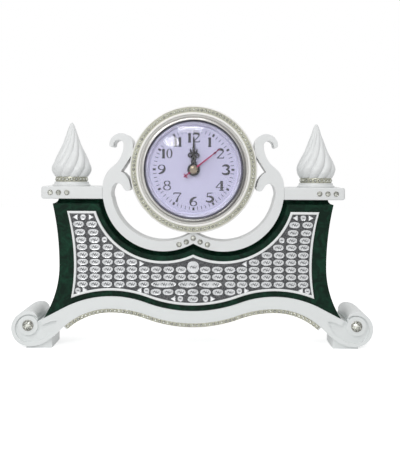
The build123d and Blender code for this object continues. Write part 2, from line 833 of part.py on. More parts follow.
with BuildPart() as movement_cover:
    movement_block(movement_r, plate_inner, cover_back)
    movement_block(movement_r - movement_wall, plate_inner, cover_inner, mode=Mode.SUBTRACT)
    disc(well_r + cell_wall, cell_front, cover_inner, cell_at)
    disc(well_r, cell_front, cover_back, cell_at, mode=Mode.SUBTRACT)
    with BuildSketch(upright(cell_front, cell_x, ring_z + cell_z)):
        with Locations((0, well_r + cell_wall / 2)):
            Rectangle(leaf_width + 2 * push_fit, 2 * cell_wall)
    extrude(amount=cover_inner - cell_front, dir=backwards, mode=Mode.SUBTRACT)
    for spot in (centre, third_at, step_at, rotor_at):
        disc(arbor_r + slip, cover_inner, cover_back, spot, mode=Mode.SUBTRACT)
    disc(knob_stem_r + slip, cover_inner, cover_back, knob_at, mode=Mode.SUBTRACT)
save(movement_cover, "movement_cover")

with BuildPart() as back_shell:
    disc(skirt_bore - push_fit, dial_back, shell_back)
    disc(skirt_bore - push_fit - shell_wall, dial_back, cover_back, mode=Mode.SUBTRACT)
    disc(knob_stem_r + slip, cover_back, shell_back, knob_at, mode=Mode.SUBTRACT)
    disc(hatch_r + bore_play, cover_back, shell_back, cell_at, mode=Mode.SUBTRACT)
    groove_r = hatch_r + hatch_lug_reach + bore_play
    disc(groove_r, cover_back, hatch_front + hatch_lug_thick + bore_play, cell_at, mode=Mode.SUBTRACT)
    with BuildSketch(upright(cover_back, cell_x, ring_z + cell_z)):
        for half in (0, 180):
            start_turn = half - hatch_travel_turn - hatch_lug_turn / 2 - hatch_entry_turn
            with BuildLine():
                outer = CenterArc((0, 0), groove_r, start_turn, hatch_lug_turn + 2 * hatch_entry_turn)
                Polyline(outer @ 1, (0, 0), outer @ 0)
            make_face()
    extrude(amount=shell_back - cover_back, dir=backwards, mode=Mode.SUBTRACT)
save(back_shell, "back_shell")

with BuildPart() as battery_hatch:
    disc(hatch_r, hatch_front, shell_back, cell_at)
    disc(cell_r, cell_back, hatch_front, cell_at)
    with BuildSketch(upright(hatch_front, cell_x, ring_z + cell_z)):
        for half in (0, 180):
            with BuildLine():
                lug_r = hatch_r + hatch_lug_reach
                outer = CenterArc((0, 0), lug_r, half - hatch_lug_turn / 2, hatch_lug_turn)
                Polyline(outer @ 1, (0, 0), outer @ 0)
            make_face()
    extrude(amount=hatch_lug_thick, dir=backwards)
    with BuildSketch(upright(shell_back, cell_x, ring_z + cell_z)):
        SlotOverall(coin_slot_length, coin_slot_width)
    extrude(amount=coin_slot_depth, dir=forwards, mode=Mode.SUBTRACT)
save(battery_hatch, "battery_hatch")

with BuildPart() as button_cell:
    disc(cell_r, cell_front, cell_back, cell_at)
save(button_cell, "button_cell")

# Contacts: a bent leaf in front of the cell, and a strip in the slot of its well
with BuildPart() as cell_spring:
    with BuildSketch(Plane(origin=(cell_x, 0, ring_z + cell_z), x_dir=(1, 0, 0), z_dir=(0, 0, 1))):
        with BuildLine():
            spring_path = Polyline(
                (-leaf_length, plate_inner + leaf_thick / 2),
                (-leaf_length / 2, plate_inner + leaf_thick / 2),
                (0, cell_front - leaf_thick / 2),
                (leaf_length / 2, cell_front - leaf_thick / 2),
            )
            offset(amount=leaf_thick / 2, side=Side.BOTH, kind=Kind.INTERSECTION)
        make_face()
    extrude(amount=leaf_width / 2, both=True)
save(cell_spring, "cell_spring")

with BuildPart() as cell_side_contact:
    with BuildSketch(upright(cell_front, cell_x, ring_z + cell_z + cell_r)):
        Rectangle(leaf_width, cell_play + cell_wall, align=(Align.CENTER, Align.MIN))
    extrude(amount=cell_thick - cell_sink, dir=backwards)
save(cell_side_contact, "cell_side_contact")

# Drive: board with its crystal, coil on a core, stator and rotor
board_plane = Plane(origin=(board_x, plate_inner, ring_z + board_z), x_dir=(1, 0, 0), z_dir=backwards)
with BuildPart(board_plane) as circuit_board:
    Box(board_width, board_height, board_thick, align=(Align.CENTER, Align.CENTER, Align.MIN))
save(circuit_board, "circuit_board")

crystal_y = plate_inner + board_thick + crystal_r
crystal_plane = Plane(origin=(board_x, crystal_y, ring_z + board_z), x_dir=backwards, z_dir=(1, 0, 0))
with BuildPart(crystal_plane) as quartz_crystal:
    Cylinder(crystal_r, crystal_length)
save(quartz_crystal, "quartz_crystal")

stator_y = plate_inner + stator_at
core_y = stator_y + stator_thick
with BuildPart() as stator:
    with BuildSketch(upright(stator_y, 0, ring_z)):
        reach = (coil_length + stator_arm_width) / 2 + coil_play
        corner_z = coil_z - coil_r - stator_arm_width / 2 - coil_play
        corners = ((coil_x + reach, coil_z), rotor_at, (coil_x - reach, corner_z), (coil_x - reach, coil_z))
        for start, end in zip(corners, corners[1:]):
            run = (end[0] - start[0], end[1] - start[1])
            middle = ((start[0] + end[0]) / 2, (start[1] + end[1]) / 2)
            with Locations(Location((*middle, 0), (0, 0, degrees(atan2(run[1], run[0]))))):
                SlotCenterToCenter(sqrt(run[0] ** 2 + run[1] ** 2), stator_arm_width)
        with Locations(rotor_at):
            round_face(stator_ring_r)
            round_face(stator_hole_r, mode=Mode.SUBTRACT)
    extrude(amount=stator_thick, dir=backwards)
save(stator, "stator")

with BuildPart() as coil_core:
    with BuildSketch(upright(core_y, coil_x, ring_z + coil_z)):
        Rectangle(coil_length + 2 * (stator_arm_width + coil_play), core_width)
    extrude(amount=core_thick, dir=backwards)
save(coil_core, "coil_core")

coil_y = core_y + core_thick / 2
coil_plane = Plane(origin=(coil_x, coil_y, ring_z + coil_z), x_dir=backwards, z_dir=(1, 0, 0))
with BuildPart(coil_plane) as coil_winding:
    Cylinder(coil_r, coil_length)
    Box(core_thick, core_width, coil_length, mode=Mode.SUBTRACT)
save(coil_winding, "coil_winding")

pivot_front = plate_inner - pivot_length
pivot_back = cover_inner + pivot_length
with BuildPart() as rotor:
    wheel(rotor_teeth, rotor_module, meshed(0, step_teeth, rotor_teeth, rotor_turn), rotor_at, 6)
    disc(magnet_r, plate_inner + magnet_start, plate_inner + magnet_start + magnet_length, rotor_at)
    disc(arbor_r, pivot_front, pivot_back, rotor_at)
save(rotor, "rotor")

with BuildPart() as step_wheel:
    wheel(step_teeth, rotor_module, 0, step_at, 6)
    wheel(step_leaves, step_module, meshed(0, seconds_teeth, step_leaves, step_turn), step_at, 5)
    disc(arbor_r, pivot_front, pivot_back, step_at)
save(step_wheel, "step_wheel")

with BuildPart() as seconds_wheel:
    wheel(seconds_teeth, step_module, 0, centre, 5)
    wheel(seconds_leaves, third_module, 0, centre, 4)
    disc(arbor_r, second_y, pivot_back)
save(seconds_wheel, "seconds_wheel")

with BuildPart() as third_wheel:
    wheel(third_teeth, third_module, meshed(0, seconds_leaves, third_teeth, third_turn), third_at, 4)
    wheel(third_leaves, centre_module, meshed(0, centre_teeth, third_leaves, third_turn), third_at, 3)
    disc(arbor_r, pivot_front, pivot_back, third_at)
save(third_wheel, "third_wheel")

with BuildPart() as centre_wheel:
    wheel(centre_teeth, centre_module, 0, centre, 3)
    disc(cannon_r + slip, level(3), level(3) + wheel_width, mode=Mode.SUBTRACT)
save(centre_wheel, "centre_wheel")

with BuildPart() as cannon_pinion:
    wheel(cannon_teeth, cannon_module, 0, centre, 2)
    disc(cannon_r, minute_y, level(3) + wheel_width)
    disc(cannon_bore, minute_y, level(3) + wheel_width, mode=Mode.SUBTRACT)
save(cannon_pinion, "cannon_pinion")

motion_phase = meshed(0, cannon_teeth, motion_teeth, motion_turn)
with BuildPart() as motion_wheel:
    wheel(motion_teeth, cannon_module, motion_phase, motion_at, 2)
    wheel(motion_leaves, hour_module, meshed(0, hour_teeth, motion_leaves, motion_turn), motion_at, 1)
    disc(motion_leaves * hour_module / 4, level(1), level(2) + wheel_width, motion_at)
    disc(arbor_r + slip, level(1), level(2) + wheel_width, motion_at, mode=Mode.SUBTRACT)
save(motion_wheel, "motion_wheel")

with BuildPart() as hour_wheel:
    wheel(hour_teeth, hour_module, 0, centre, 1)
    disc(hour_r, hour_y, level(1) + wheel_width)
    disc(hour_bore, hour_y, level(1) + wheel_width, mode=Mode.SUBTRACT)
save(hour_wheel, "hour_wheel")

with BuildPart() as set_knob:
    wheel(knob_teeth, cannon_module, meshed(motion_phase, motion_teeth, knob_teeth, knob_turn), knob_at, 2)
    disc(knob_stem_r, level(2), shell_back + knob_gap, knob_at)
    disc(arbor_r, pivot_front, level(2), knob_at)
    with BuildSketch(upright(shell_back + knob_gap, knob_at[0], ring_z + knob_at[1])):
        knob_reach = (knob_r, knob_r * (1 - knob_groove))
        ribs = [polar(knob_reach[rib % 2], 180 * rib / knob_ribs) for rib in range(2 * knob_ribs)]
        Polygon(*ribs, align=None)
    extrude(amount=knob_thick, dir=backwards)
save(set_knob, "set_knob")

# Hands
def blade(width, tip_width, start, end):
    """Outline of a hand's blade, which tapers to its tip."""
    Polygon((-width / 2, start), (width / 2, start), (tip_width / 2, end), (-tip_width / 2, end), align=None)


with BuildPart() as hour_hand:
    with BuildSketch(upright(hour_y, 0, ring_z)):
        blade(hour_width, hour_width * hand_tip_share, 0, hour_length)
        for side in (-1, 1):
            with Locations((side * (hour_loop_r - loop_wall / 2), hour_loop_at)):
                RegularPolygon(hour_loop_r, loop_sides)
        for side in (-1, 1):
            with Locations((side * (hour_loop_r - loop_wall / 2), hour_loop_at)):
                RegularPolygon(hour_loop_r - loop_wall, loop_sides, mode=Mode.SUBTRACT)
        round_face(hub_r)
        round_face(hour_r + push_fit, mode=Mode.SUBTRACT)
    extrude(amount=hand_thick, dir=backwards)
save(hour_hand, "hour_hand")

with BuildPart() as minute_hand:
    with BuildSketch(upright(minute_y, 0, ring_z)):
        blade(minute_width, minute_width * hand_tip_share, 0, minute_length)
        with Locations((0, minute_loop_at)):
            RegularPolygon(minute_loop_r, loop_sides)
            RegularPolygon(minute_loop_r - loop_wall, loop_sides, mode=Mode.SUBTRACT)
        round_face(hub_r)
        round_face(cannon_r + push_fit, mode=Mode.SUBTRACT)
    extrude(amount=hand_thick, dir=backwards)
save(minute_hand, "minute_hand")

with BuildPart() as second_hand:
    along = (cos(radians(second_rest_turn)), 0, -sin(radians(second_rest_turn)))
    with BuildSketch(Plane(origin=(0, second_y, ring_z), x_dir=along, z_dir=forwards)):
        blade(second_width, second_width * second_tip_share, -second_tail, second_length)
        round_face(second_hub_r)
        with Locations((0, second_diamond_at)):
            diamond_half = second_diamond / 2
            Polygon((-diamond_half, 0), (0, -second_diamond), (diamond_half, 0), (0, second_diamond))
        with Locations((0, -second_tail + second_cross / 2)):
            Rectangle(second_cross, second_width, rotation=45)
            Rectangle(second_cross, second_width, rotation=-45)
        round_face(arbor_r + push_fit, mode=Mode.SUBTRACT)
    extrude(amount=hand_thick, dir=backwards)
save(second_hand, "second_hand")

with BuildPart() as centre_cap:
    tapered((cap_r, cap_r, cap_r / 2), (second_y, second_y - cap_edge, second_y - cap_rise))
save(centre_cap, "centre_cap")
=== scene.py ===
from math import asin, atan2, copysign, cos, degrees, hypot, inf, pi, radians, sin, sqrt

import bmesh
import bpy
from bmesh.types import BMEdge, BMFace, BMVert
from bpy.props import FloatProperty, FloatVectorProperty, IntProperty, PointerProperty
from mathutils import Matrix, Vector


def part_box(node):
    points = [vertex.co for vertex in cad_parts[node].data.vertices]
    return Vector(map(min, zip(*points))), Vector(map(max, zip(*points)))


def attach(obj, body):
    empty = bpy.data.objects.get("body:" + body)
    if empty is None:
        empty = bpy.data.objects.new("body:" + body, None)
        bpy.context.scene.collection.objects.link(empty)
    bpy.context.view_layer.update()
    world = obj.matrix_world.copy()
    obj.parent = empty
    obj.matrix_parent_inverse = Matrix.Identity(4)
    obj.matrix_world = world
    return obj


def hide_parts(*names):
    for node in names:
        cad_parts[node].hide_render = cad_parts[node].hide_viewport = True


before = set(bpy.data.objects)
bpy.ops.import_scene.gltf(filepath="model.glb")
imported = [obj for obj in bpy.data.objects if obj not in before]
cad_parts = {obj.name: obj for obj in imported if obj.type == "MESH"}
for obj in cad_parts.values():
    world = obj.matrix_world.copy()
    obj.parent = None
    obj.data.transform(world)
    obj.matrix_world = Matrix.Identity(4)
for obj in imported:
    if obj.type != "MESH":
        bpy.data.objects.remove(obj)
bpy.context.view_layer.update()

bl_info = {
    "name": "Lyre Mantel Clock",
    "version": (1, 0, 0),
    "blender": (4, 5, 0),
    "location": "View3D > Sidebar > Mantel Clock",
    "description": "Dresses a packed mantel clock with its ring, flames, plaque, dial and stage",
    "category": "Object",
}

# Lengths are in millimetres until piece() makes them metres. Turns in tables and arcs are in degrees.
# X runs to the right, Y from front to back and Z up from the table.
MM = 0.001
BACKWARDS = Vector((0, 1, 0))
UPWARDS = Vector((0, 0, 1))


def span(solid):
    """Lowest and highest corner of a CAD node, in millimetres."""
    low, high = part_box(solid)
    return Vector(low) / MM, Vector(high) / MM


# White ring: its bore, the insert's seat, the stone channel, the ridge and the bed of the beads
RING_LOW, RING_HIGH = span("clock_ring")
RING_Z = (RING_LOW.z + RING_HIGH.z) / 2
RING_R = (RING_HIGH.x - RING_LOW.x) / 2
RING_FRONT, RING_BACK = RING_LOW.y, RING_HIGH.y
CENTRE = Vector((0, 0, RING_Z))
RING_BORE, SEAT_R, SEAT_Y = 32.6, 36.5, RING_FRONT + 1.6
CHANNEL_OUTER, CHANNEL_INNER, CHANNEL_DEPTH = 43.5, 39.9, 1.3
RIDGE_INNER, RIDGE_SINK = 38.2, 0.15
BEAD_INNER, BEAD_SINK = 36.95, 0.9

# Clock insert
BEZEL_R = span("bezel")[1].x
GLASS_R, GLASS_BACK = span("lens")[1].x, span("lens")[1].y
GLASS_RISE, GLASS_THICK, GLASS_SEAT, GLASS_GAP = 3.6, 1.2, 1.0, 0.06
# The bezel's outer wall, crest and groove over its seat, and how far the crest stands outwards and
# is narrower than the rim
WALL_RISE, CREST_RISE, GROOVE_RISE, CREST_OUT, CREST_NARROW = 1.1, 1.45, 1.15, 0.15, 0.2
SIGHT_R, SIGHT_EDGE, SKIRT_R, SKIRT_DEPTH = 31.3, 30.4, 31.9, 6.0
DIAL_FRONT, DIAL_R = span("dial")[0].y, span("dial")[1].x
DIAL_BORE, DIAL_THICK = 3.25, 0.6

# Case: front faces, crescent, ledges, rail arcs and the seam between the rail and the feet
FACE_Y = span("base_rail")[0].y
BODY_FRONT = FACE_Y + 1.5
LYRE_X, LYRE_Z, LYRE_R, LYRE_INNER_R = 21.0, 110.5, 42.4, 36.0
LEDGE_LOW, LEDGE_TOP = span("ledge_right")[0].z, span("ledge_right")[1].z
CREST_X = 57.3
TOP_SAG_R, TOP_SAG_Z, TOP_CREST_R, TOP_CREST_Z = 95.65, 121.9, 70.0, -33.52
UNDER_SAG_R, UNDER_SAG_Z, UNDER_CREST_R, UNDER_CREST_Z = 95.0, 109.85, 71.7, -46.69
UNDER_FALL_R, UNDER_FALL_Z = 45.0, -19.99
SEAM_X, SEAM_Z, SEAM_LENGTH, SEAM_SPLIT = span("base_rail")[1].x, 14.96, 38.9, 1.35

# Cove under the ledges and the crescent: its drop, depth, ends and how far the ends draw in, then
# the drop, depth and ends of its rows inside the body
COVE_DROP, COVE_DEPTH, COVE_END, COVE_IN = 3.3, 4.5, 98.4, 3.55
COVE_HIDDEN = ((0.0, 4.8, 94.5), (3.6, 4.8, 94.5), (3.6, 0.6, 98.1))

# Rows of stones: number, radius as a share of the pitch, and each line of the rail's row by its rise
# over the rail's lower edge and its reach from the middle
RING_STONES, RING_STONE_SHARE = 96, 0.47
RAIL_STONES, RAIL_STONE_SHARE = 63, 0.465
ROW_LOW, ROW_MIDDLE, ROW_HIGH = (0.1, 87.3), (1.45, 88.2), (2.8, 89.2)
# Depth of the bed under each row, and how far a stone rises over its radius
CHAIN_BED, RAIL_BED, CHAIN_RISE, COLLAR_RISE = 0.5, 0.9, 0.85, 0.75

# Single stones: radius, rise and sides, and where they stand
SMALL_GEM, FOOT_GEM = (1.95, 0.9, 12), (4.0, 1.8, 16)
LEDGE_GEM_X, LEDGE_GEM_STEP, CRESCENT_GEM_TURN = 88.3, 5.8, 8.0
FOOT_GEM_X, FOOT_GEM_Z = 114.9, 16.0
# Their rows, as pairs of shares of the radius and the rise: the rim's first, then the facets'
GEM_ROWS = ((1.0, 0.0), (0.99, 0.28), (0.90, 0.42), (0.84, 0.26), (0.62, 0.78), (0.36, 1.0))
CROWN_ROW = 4

# Finials, with the flame's outline as pairs of height and radius
FINIAL_X, FINIAL_Y = 87.4, span("finial_plinth_right")[0].y + 13.5
FLAME_Z = span("finial_flame_right")[0].z
FLAME_TOP, FLAME_TIP, FLAME_ROWS, LOBE_SIDES = 38.4, 38.7, 44, 12
FLAME_OUTLINE = ((0.0, 11.6), (3.4, 13.7), (6.2, 14.2), (8.6, 13.6), (12.4, 11.9), (17.2, 9.44),
                 (22.3, 7.07), (27.3, 5.13), (31.0, 3.75), (34.5, 2.6), (37.0, 1.6), (38.4, 0.75))
PLINTH_R, PLINTH_COVE, PLINTH_COVE_LOW, PLINTH_COVE_HIGH = 13.5, 1.3, 0.9, 1.5
PLINTH_FOOT = ((0, 0), (PLINTH_R - 0.2, 0), (PLINTH_R, 0.2), (PLINTH_R, 0.7))
PLINTH_TOP = ((12.1, 3.0), (11.9, 3.1), (0, 3.1))
COLLAR_HIGH, COLLAR_R, COLLAR_STONES = 3.5, 10.75, 22
COLLAR_Z = FLAME_Z - COLLAR_HIGH
COLLAR_OUTLINE = ((0, 0), (10.9, 0), (11.0, 0.4), (11.0, 3.1), (10.9, COLLAR_HIGH), (0, COLLAR_HIGH))
COLLAR_STONE = (1.56, 1.5, 1.3, 1)

# Plaque: its waist, top and foot, the gaps to the rail and the crescent, and its levels over the body
WAIST_X, WAIST_Z, PLAQUE_TOP_X, PLAQUE_TOP_Z, PLAQUE_FOOT_X = 83.0, 57.5, 88.1, 96.0, 85.0
RAIL_GAP, CRESCENT_GAP = 4.1, 6.9
RIM_RISE, GROUND_RISE, GROUND_INSET = 2.2, 1.0, 1.75
# Rim's section, as pairs of inset and depth behind its front
RIM_ROWS = ((0.0, RIM_RISE), (0.0, 0.45), (0.18, 0.12), (0.5, 0.0), (1.2, 0.0), (1.52, 0.12), (1.7, 0.45),
            (1.7, RIM_RISE))
# Oval bosses, as heights with the places along X on each side of the middle
PLAQUE_ROWS = (
    (86.9, (80.0, 70.9)), (81.3, (79.0, 69.8)), (76.0, (78.2, 69.0)), (71.0, (77.5, 68.6, 59.5)),
    (65.7, (77.1, 68.7, 60.1, 51.6)), (60.6, (77.0, 68.5, 59.7, 51.3, 42.7)),
    (55.4, (77.0, 68.4, 59.7, 51.2, 42.7, 34.1, 25.7, 17.0, 8.4)),
    (50.3, (77.0, 68.5, 60.0, 51.4, 42.8, 34.2, 25.7, 17.1, 8.6, 0.0)),
    (45.1, (77.1, 68.7, 60.1, 51.4, 43.0, 34.4)), (39.7, (25.9, 17.4, 8.8, 0.0)), (34.7, (0.0,)),
)
# Bosses of one row that aren't alike on both sides: its height, and their X and width
LONG_Z, LONG_BOSSES, LONE_BOSS_X = 45.1, ((-20.5, 17.8), (-3.7, 13.5), (12.2, 16.0)), 26.0
# Round bosses, and wedges with the turn that each one's tip has on the right side
PLAQUE_ROUNDS = ((76.9, 91.8), (61.9, 76.2), (80.2, 40.6), (32.4, 40.6), (8.8, 35.0))
ROUND_WIDTH, MIDDLE_ROUND = 3.9, (0.0, 57.2, 8.4)
PLAQUE_WEDGES = ((81.8, 91.8, 0), (71.8, 91.8, 180), (36.3, 59.4, 180), (75.8, 40.9, 180), (37.0, 40.8, 0),
                 (13.4, 35.0, 0))
# Rows of a boss of radius and rise one, and of a wedge, as pairs of radius and height
BOSS_RISE, BOSS_SIDES, BOSS_SINK = 0.95, 24, 0.02
BOSS_ROWS = ((1.0, 0.0), (0.98, 0.60), (0.93, 0.88), (0.85, 0.84), (0.79, 0.48), (0.40, 0.56))
WEDGE_ROWS = ((2.6, 0.0), (2.55, 0.5), (2.2, 0.75), (1.7, 0.5), (0.5, 0.7))
SPRIG_FRONT, SPRIG_BACK = 0.78, 0.30

# Dial and hands
INK_THICK, NUMERAL_R, LEANING_NUMERAL = 0.05, 22.3, 0.955
# Minute and hour marks, as inner reach, outer reach and width
MINUTE_MARK, HOUR_MARK = (25.9, 28.3, 0.42), (26.4, 28.5, 1.45)
HAND_THICK, HAND_HUB_R = 0.4, 4.35
NECK_REACH, NECK_TIP = (3.9, 6.0, 7.6, 9.4, 12.0), 1.5
NECK_WIDTHS = (3.5, 3.3, 2.9, 2.6, 1.8, 1.0, 0.4)
# Small rings beside the neck, by place and radii, and the horns, by foot, spread and rise
SIDE_RING_X, SIDE_RING_Z, SIDE_RING_R, SIDE_RING_HOLE = 2.35, 10.0, 1.75, 0.85
HORN_X, HORN_Z, HORN_SPREAD, HORN_RISE = 0.4, 11.6, 1.9, 2.0
# Second hand, by places along it and to its side: its bars with their widths, then its lozenge
SECOND_TURN, SECOND_HUB_R, SECOND_BORE = 51.7, 1.5, 0.5
SECOND_BARS = ((((1.2, 0), (12.0, 0), (23.0, 0)), (1.3, 1.05, 0.5)),
               (((-1.2, 0), (-8.6, 0)), (1.05, 0.85)), (((-7.0, 1.8), (-7.0, -1.8)), (0.9, 0.9)))
LOZENGE = ((17.2, 0), (18.9, 0.85), (20.6, 0), (18.9, -0.85))
CAP_BRIM = 0.35

# How near points are merged: in most pieces, and in those whose parts have to stay apart
MERGE, KEEP_APART = 0.0005, 0.00001
# Turn from which an edge is rounded, widths of the rounding, and sides of the largest round pieces
SHARP_TURN = 38.0
PANEL_EDGE, HAND_EDGE, SECOND_EDGE = 0.5, 0.08, 0.06
ROUND_SIDES = 192


# Values that the user can change
class ClockSizes(bpy.types.PropertyGroup):
    """Sizes of the clock's ornament."""
    soft_edge: FloatProperty(
        name="Soft Edge", description="Rounding of the resin's edges",
        default=0.0007, unit="LENGTH", subtype="DISTANCE")
    bead_radius: FloatProperty(
        name="Bead Radius", description="Radius of one bead round the dial",
        default=0.00049, unit="LENGTH", subtype="DISTANCE")
    bead_count: IntProperty(
        name="Beads", description="Number of beads round the dial", default=236)
    flame_lobes: IntProperty(
        name="Flame Lobes", description="Number of lobes on each flame", default=10)
    flame_groove: FloatProperty(
        name="Flame Groove", description="Depth of the grooves between lobes, as a share of the radius",
        default=0.13, subtype="FACTOR")
    flame_twist: FloatProperty(
        name="Flame Twist", description="Turn of the lobes from foot to tip",
        default=radians(100), unit="ROTATION", subtype="ANGLE")
    numeral_height: FloatProperty(
        name="Numeral Height", description="Height of the dial's numerals",
        default=0.0067, unit="LENGTH", subtype="DISTANCE")
    boss_width: FloatProperty(
        name="Boss Width", description="Width of an oval boss on the plaque",
        default=0.0076, unit="LENGTH", subtype="DISTANCE")
    boss_height: FloatProperty(
        name="Boss Height", description="Height of an oval boss on the plaque",
        default=0.0044, unit="LENGTH", subtype="DISTANCE")


class ClockColours(bpy.types.PropertyGroup):
    """Colours of the clock's finishes."""
    resin: FloatVectorProperty(
        name="White Resin", description="Colour of the white parts",
        default=(0.74, 0.755, 0.755), subtype="COLOR")
    # The ring's colour is a warmer cream, made brighter than the other white resin as painted light
    ring: FloatVectorProperty(
        name="Ring", description="Colour of the brighter, warmer ring round the dial",
        default=(0.88, 0.87, 0.845), subtype="COLOR")
    base: FloatVectorProperty(
        name="Base", description="Colour of the rail and the feet",
        default=(0.775, 0.80, 0.797), subtype="COLOR")
    panel: FloatVectorProperty(
        name="Panel", description="Deep colour of the glossy body",
        default=(0.003, 0.014, 0.008), subtype="COLOR")
    panel_vein: FloatVectorProperty(
        name="Panel Mottle", description="Lighter colour of the body's mottling",
        default=(0.008, 0.046, 0.025), subtype="COLOR")
    dial: FloatVectorProperty(
        name="Dial", description="Colour of the dial",
        default=(0.315, 0.31, 0.43), subtype="COLOR")
    second: FloatVectorProperty(
        name="Second Hand", description="Colour of the second hand",
        default=(0.22, 0.005, 0.055), subtype="COLOR")
    stone: FloatVectorProperty(
        name="Stones", description="Colour of the cut stones",
        default=(0.66, 0.67, 0.61), subtype="COLOR")
    # Darker copy of the stones' colour for every other facet: painted shade
    stone_deep: FloatVectorProperty(
        name="Deep Facets", description="Colour of the stones' darker facets",
        default=(0.24, 0.24, 0.21), subtype="COLOR")
    setting: FloatVectorProperty(
        name="Settings", description="Colour of the stones' settings",
        default=(0.46, 0.46, 0.38), subtype="COLOR")
    floor: FloatVectorProperty(
        name="Floor", description="Colour of the floor",
        default=(0.86, 0.86, 0.86), subtype="COLOR")


def sizes():
    """The user's sizes."""
    return bpy.context.scene.clock_sizes


def colours():
    """The user's colours."""
    return bpy.context.scene.clock_colours


# Shapes
def arc(x, z, radius, start, end, steps):
    """Points of an arc in the front view, between two turns."""
    turns = [radians(start + (end - start) * number / steps) for number in range(steps + 1)]
    return [(x + radius * cos(turn), z + radius * sin(turn)) for turn in turns]


def wave(arcs, end_x, step):
    """Right half of a wavy line, from the middle out. Each arc is given by the X where it ends, its
    centre and its radius, which is below zero where the line sags."""
    points = []
    for number in range(int(end_x / step) + 2):
        x = min(number * step, end_x)
        centre_x, centre_z, radius = next(shape for last, *shape in arcs if x < last)
        points.append((x, centre_z + copysign(sqrt(radius ** 2 - (x - centre_x) ** 2), radius)))
    return points if points[-1][0] > points[-2][0] else points[:-1]


def rail_top(gap, end_x, step=2.5):
    """Right half of the rail's top edge, raised by gap."""
    sag_r, crest_r = TOP_SAG_R - gap, TOP_CREST_R + gap
    join = CREST_X * sag_r / (sag_r + crest_r)
    return wave(((join, 0, TOP_SAG_Z, -sag_r), (inf, CREST_X, TOP_CREST_Z, crest_r)), end_x, step)


def rail_under(rise, end_x, step=2.5):
    """Right half of the rail's lower edge, raised by rise."""
    sag_r, crest_r, fall_r = UNDER_SAG_R - rise, UNDER_CREST_R + rise, UNDER_FALL_R + rise
    join = CREST_X * sag_r / (sag_r + crest_r)
    return wave(((join, 0, UNDER_SAG_Z, -sag_r), (CREST_X, CREST_X, UNDER_CREST_Z, crest_r),
                 (inf, CREST_X, UNDER_FALL_Z, fall_r)), end_x, step)


def mirrored(points):
    """A right half line made whole: from its left end over the middle to its right end."""
    return [(-x, z) for x, z in reversed(points) if x > 1e-6] + list(points)


def evenly(points, count):
    """Evenly spaced places along a line, with the line's turn at each."""
    lengths = [0.0]
    for here, there in zip(points, points[1:]):
        lengths.append(lengths[-1] + hypot(there[0] - here[0], there[1] - here[1]))
    places, leg = [], 0
    for number in range(count):
        reach = lengths[-1] * (number + 0.5) / count
        while lengths[leg + 1] < reach:
            leg += 1
        share = (reach - lengths[leg]) / (lengths[leg + 1] - lengths[leg])
        (x0, z0), (x1, z1) = points[leg], points[leg + 1]
        places.append((x0 + (x1 - x0) * share, z0 + (z1 - z0) * share, atan2(z1 - z0, x1 - x0)))
    return places


def only(kind, items):
    """Those of a mesh's items that are of one kind."""
    return [item for item in items if isinstance(item, kind)]


def slab(bm, outline, front, back):
    """Plate of an outline in the front view, from one depth to another."""
    face = bm.faces.new([bm.verts.new((x, front, z)) for x, z in outline])
    drawn = bmesh.ops.extrude_face_region(bm, geom=[face], use_keep_orig=True)["geom"]
    bmesh.ops.translate(bm, verts=only(BMVert, drawn), vec=(0, back - front, 0))


def stroke(bm, spine, widths, front, back):
    """Flat bar along a line in the front view, as wide at each of its points as said."""
    left, right = [], []
    for number, (x, z) in enumerate(spine):
        before, after = spine[max(number - 1, 0)], spine[min(number + 1, len(spine) - 1)]
        way = Vector((after[0] - before[0], after[1] - before[1])).normalized()
        reach = widths[number] / 2
        left.append((x - way.y * reach, z + way.x * reach))
        right.append((x + way.y * reach, z - way.x * reach))
    slab(bm, left + right[::-1], front, back)


def spun(bm, outline, centre, axis, steps, closed=True):
    """Piece turned about an axis, from pairs of distance from the axis and place along it."""
    across = Vector((1, 0, 0))
    verts = [bm.verts.new(centre + across * reach + axis * along) for reach, along in outline]
    pairs = list(zip(verts, verts[1:])) + ([(verts[-1], verts[0])] if closed else [])
    edges = [bm.edges.new(pair) for pair in pairs]
    bmesh.ops.spin(bm, geom=verts + edges, cent=centre, axis=axis, angle=2 * pi, steps=steps,
                   use_merge=True, use_duplicate=False)


def washer(bm, x, z, outer, inner, front, back, steps=32):
    """Flat ring in the front view."""
    spun(bm, [(inner, front), (outer, front), (outer, back), (inner, back)], Vector((x, 0, z)),
         BACKWARDS, steps)


def climb(bm, edges, rows, turns):
    """Rings drawn on from a ring of edges, by pairs of radius and height, each turned on as said.
    Gives the faces, ring by ring, and the last ring's edges."""
    bands = []
    for (radius, height), (wide, high), turn in zip(rows, rows[1:], turns):
        drawn = bmesh.ops.extrude_edge_only(bm, edges=edges)["geom"]
        verts = only(BMVert, drawn)
        known = set(verts)
        bands.append(only(BMFace, drawn))
        edges = [edge for edge in only(BMEdge, drawn) if known.issuperset(edge.verts)]
        way = Matrix.Translation((0, 0, high)) @ Matrix.Rotation(turn, 4, "Z")
        grow = Matrix.Diagonal((wide / radius, wide / radius, 1, 1))
        bmesh.ops.transform(bm, matrix=way @ grow @ Matrix.Translation((0, 0, -height)), verts=verts)
    return bands, edges


def stacked(bm, rows, sides, turned=None):
    """Closed stack of rings in an empty mesh, by pairs of radius and height, from one row on turned by
    half a side. Gives the faces, ring by ring."""
    bmesh.ops.create_circle(bm, segments=sides, radius=rows[0][0])
    edges = bm.edges[:]
    first = bmesh.ops.contextual_create(bm, geom=edges)["faces"]
    turns = [pi / sides if number == turned else 0.0 for number in range(1, len(rows))]
    bands, edges = climb(bm, edges, rows, turns)
    return [first, *bands, bmesh.ops.contextual_create(bm, geom=edges)["faces"]]


def repeat(bm, shape, places):
    """Copies of a small mesh, one at each place."""
    for place in places:
        count = len(bm.verts)
        bm.from_mesh(shape)
        bm.verts.ensure_lookup_table()
        bmesh.ops.transform(bm, matrix=place, verts=bm.verts[count:])


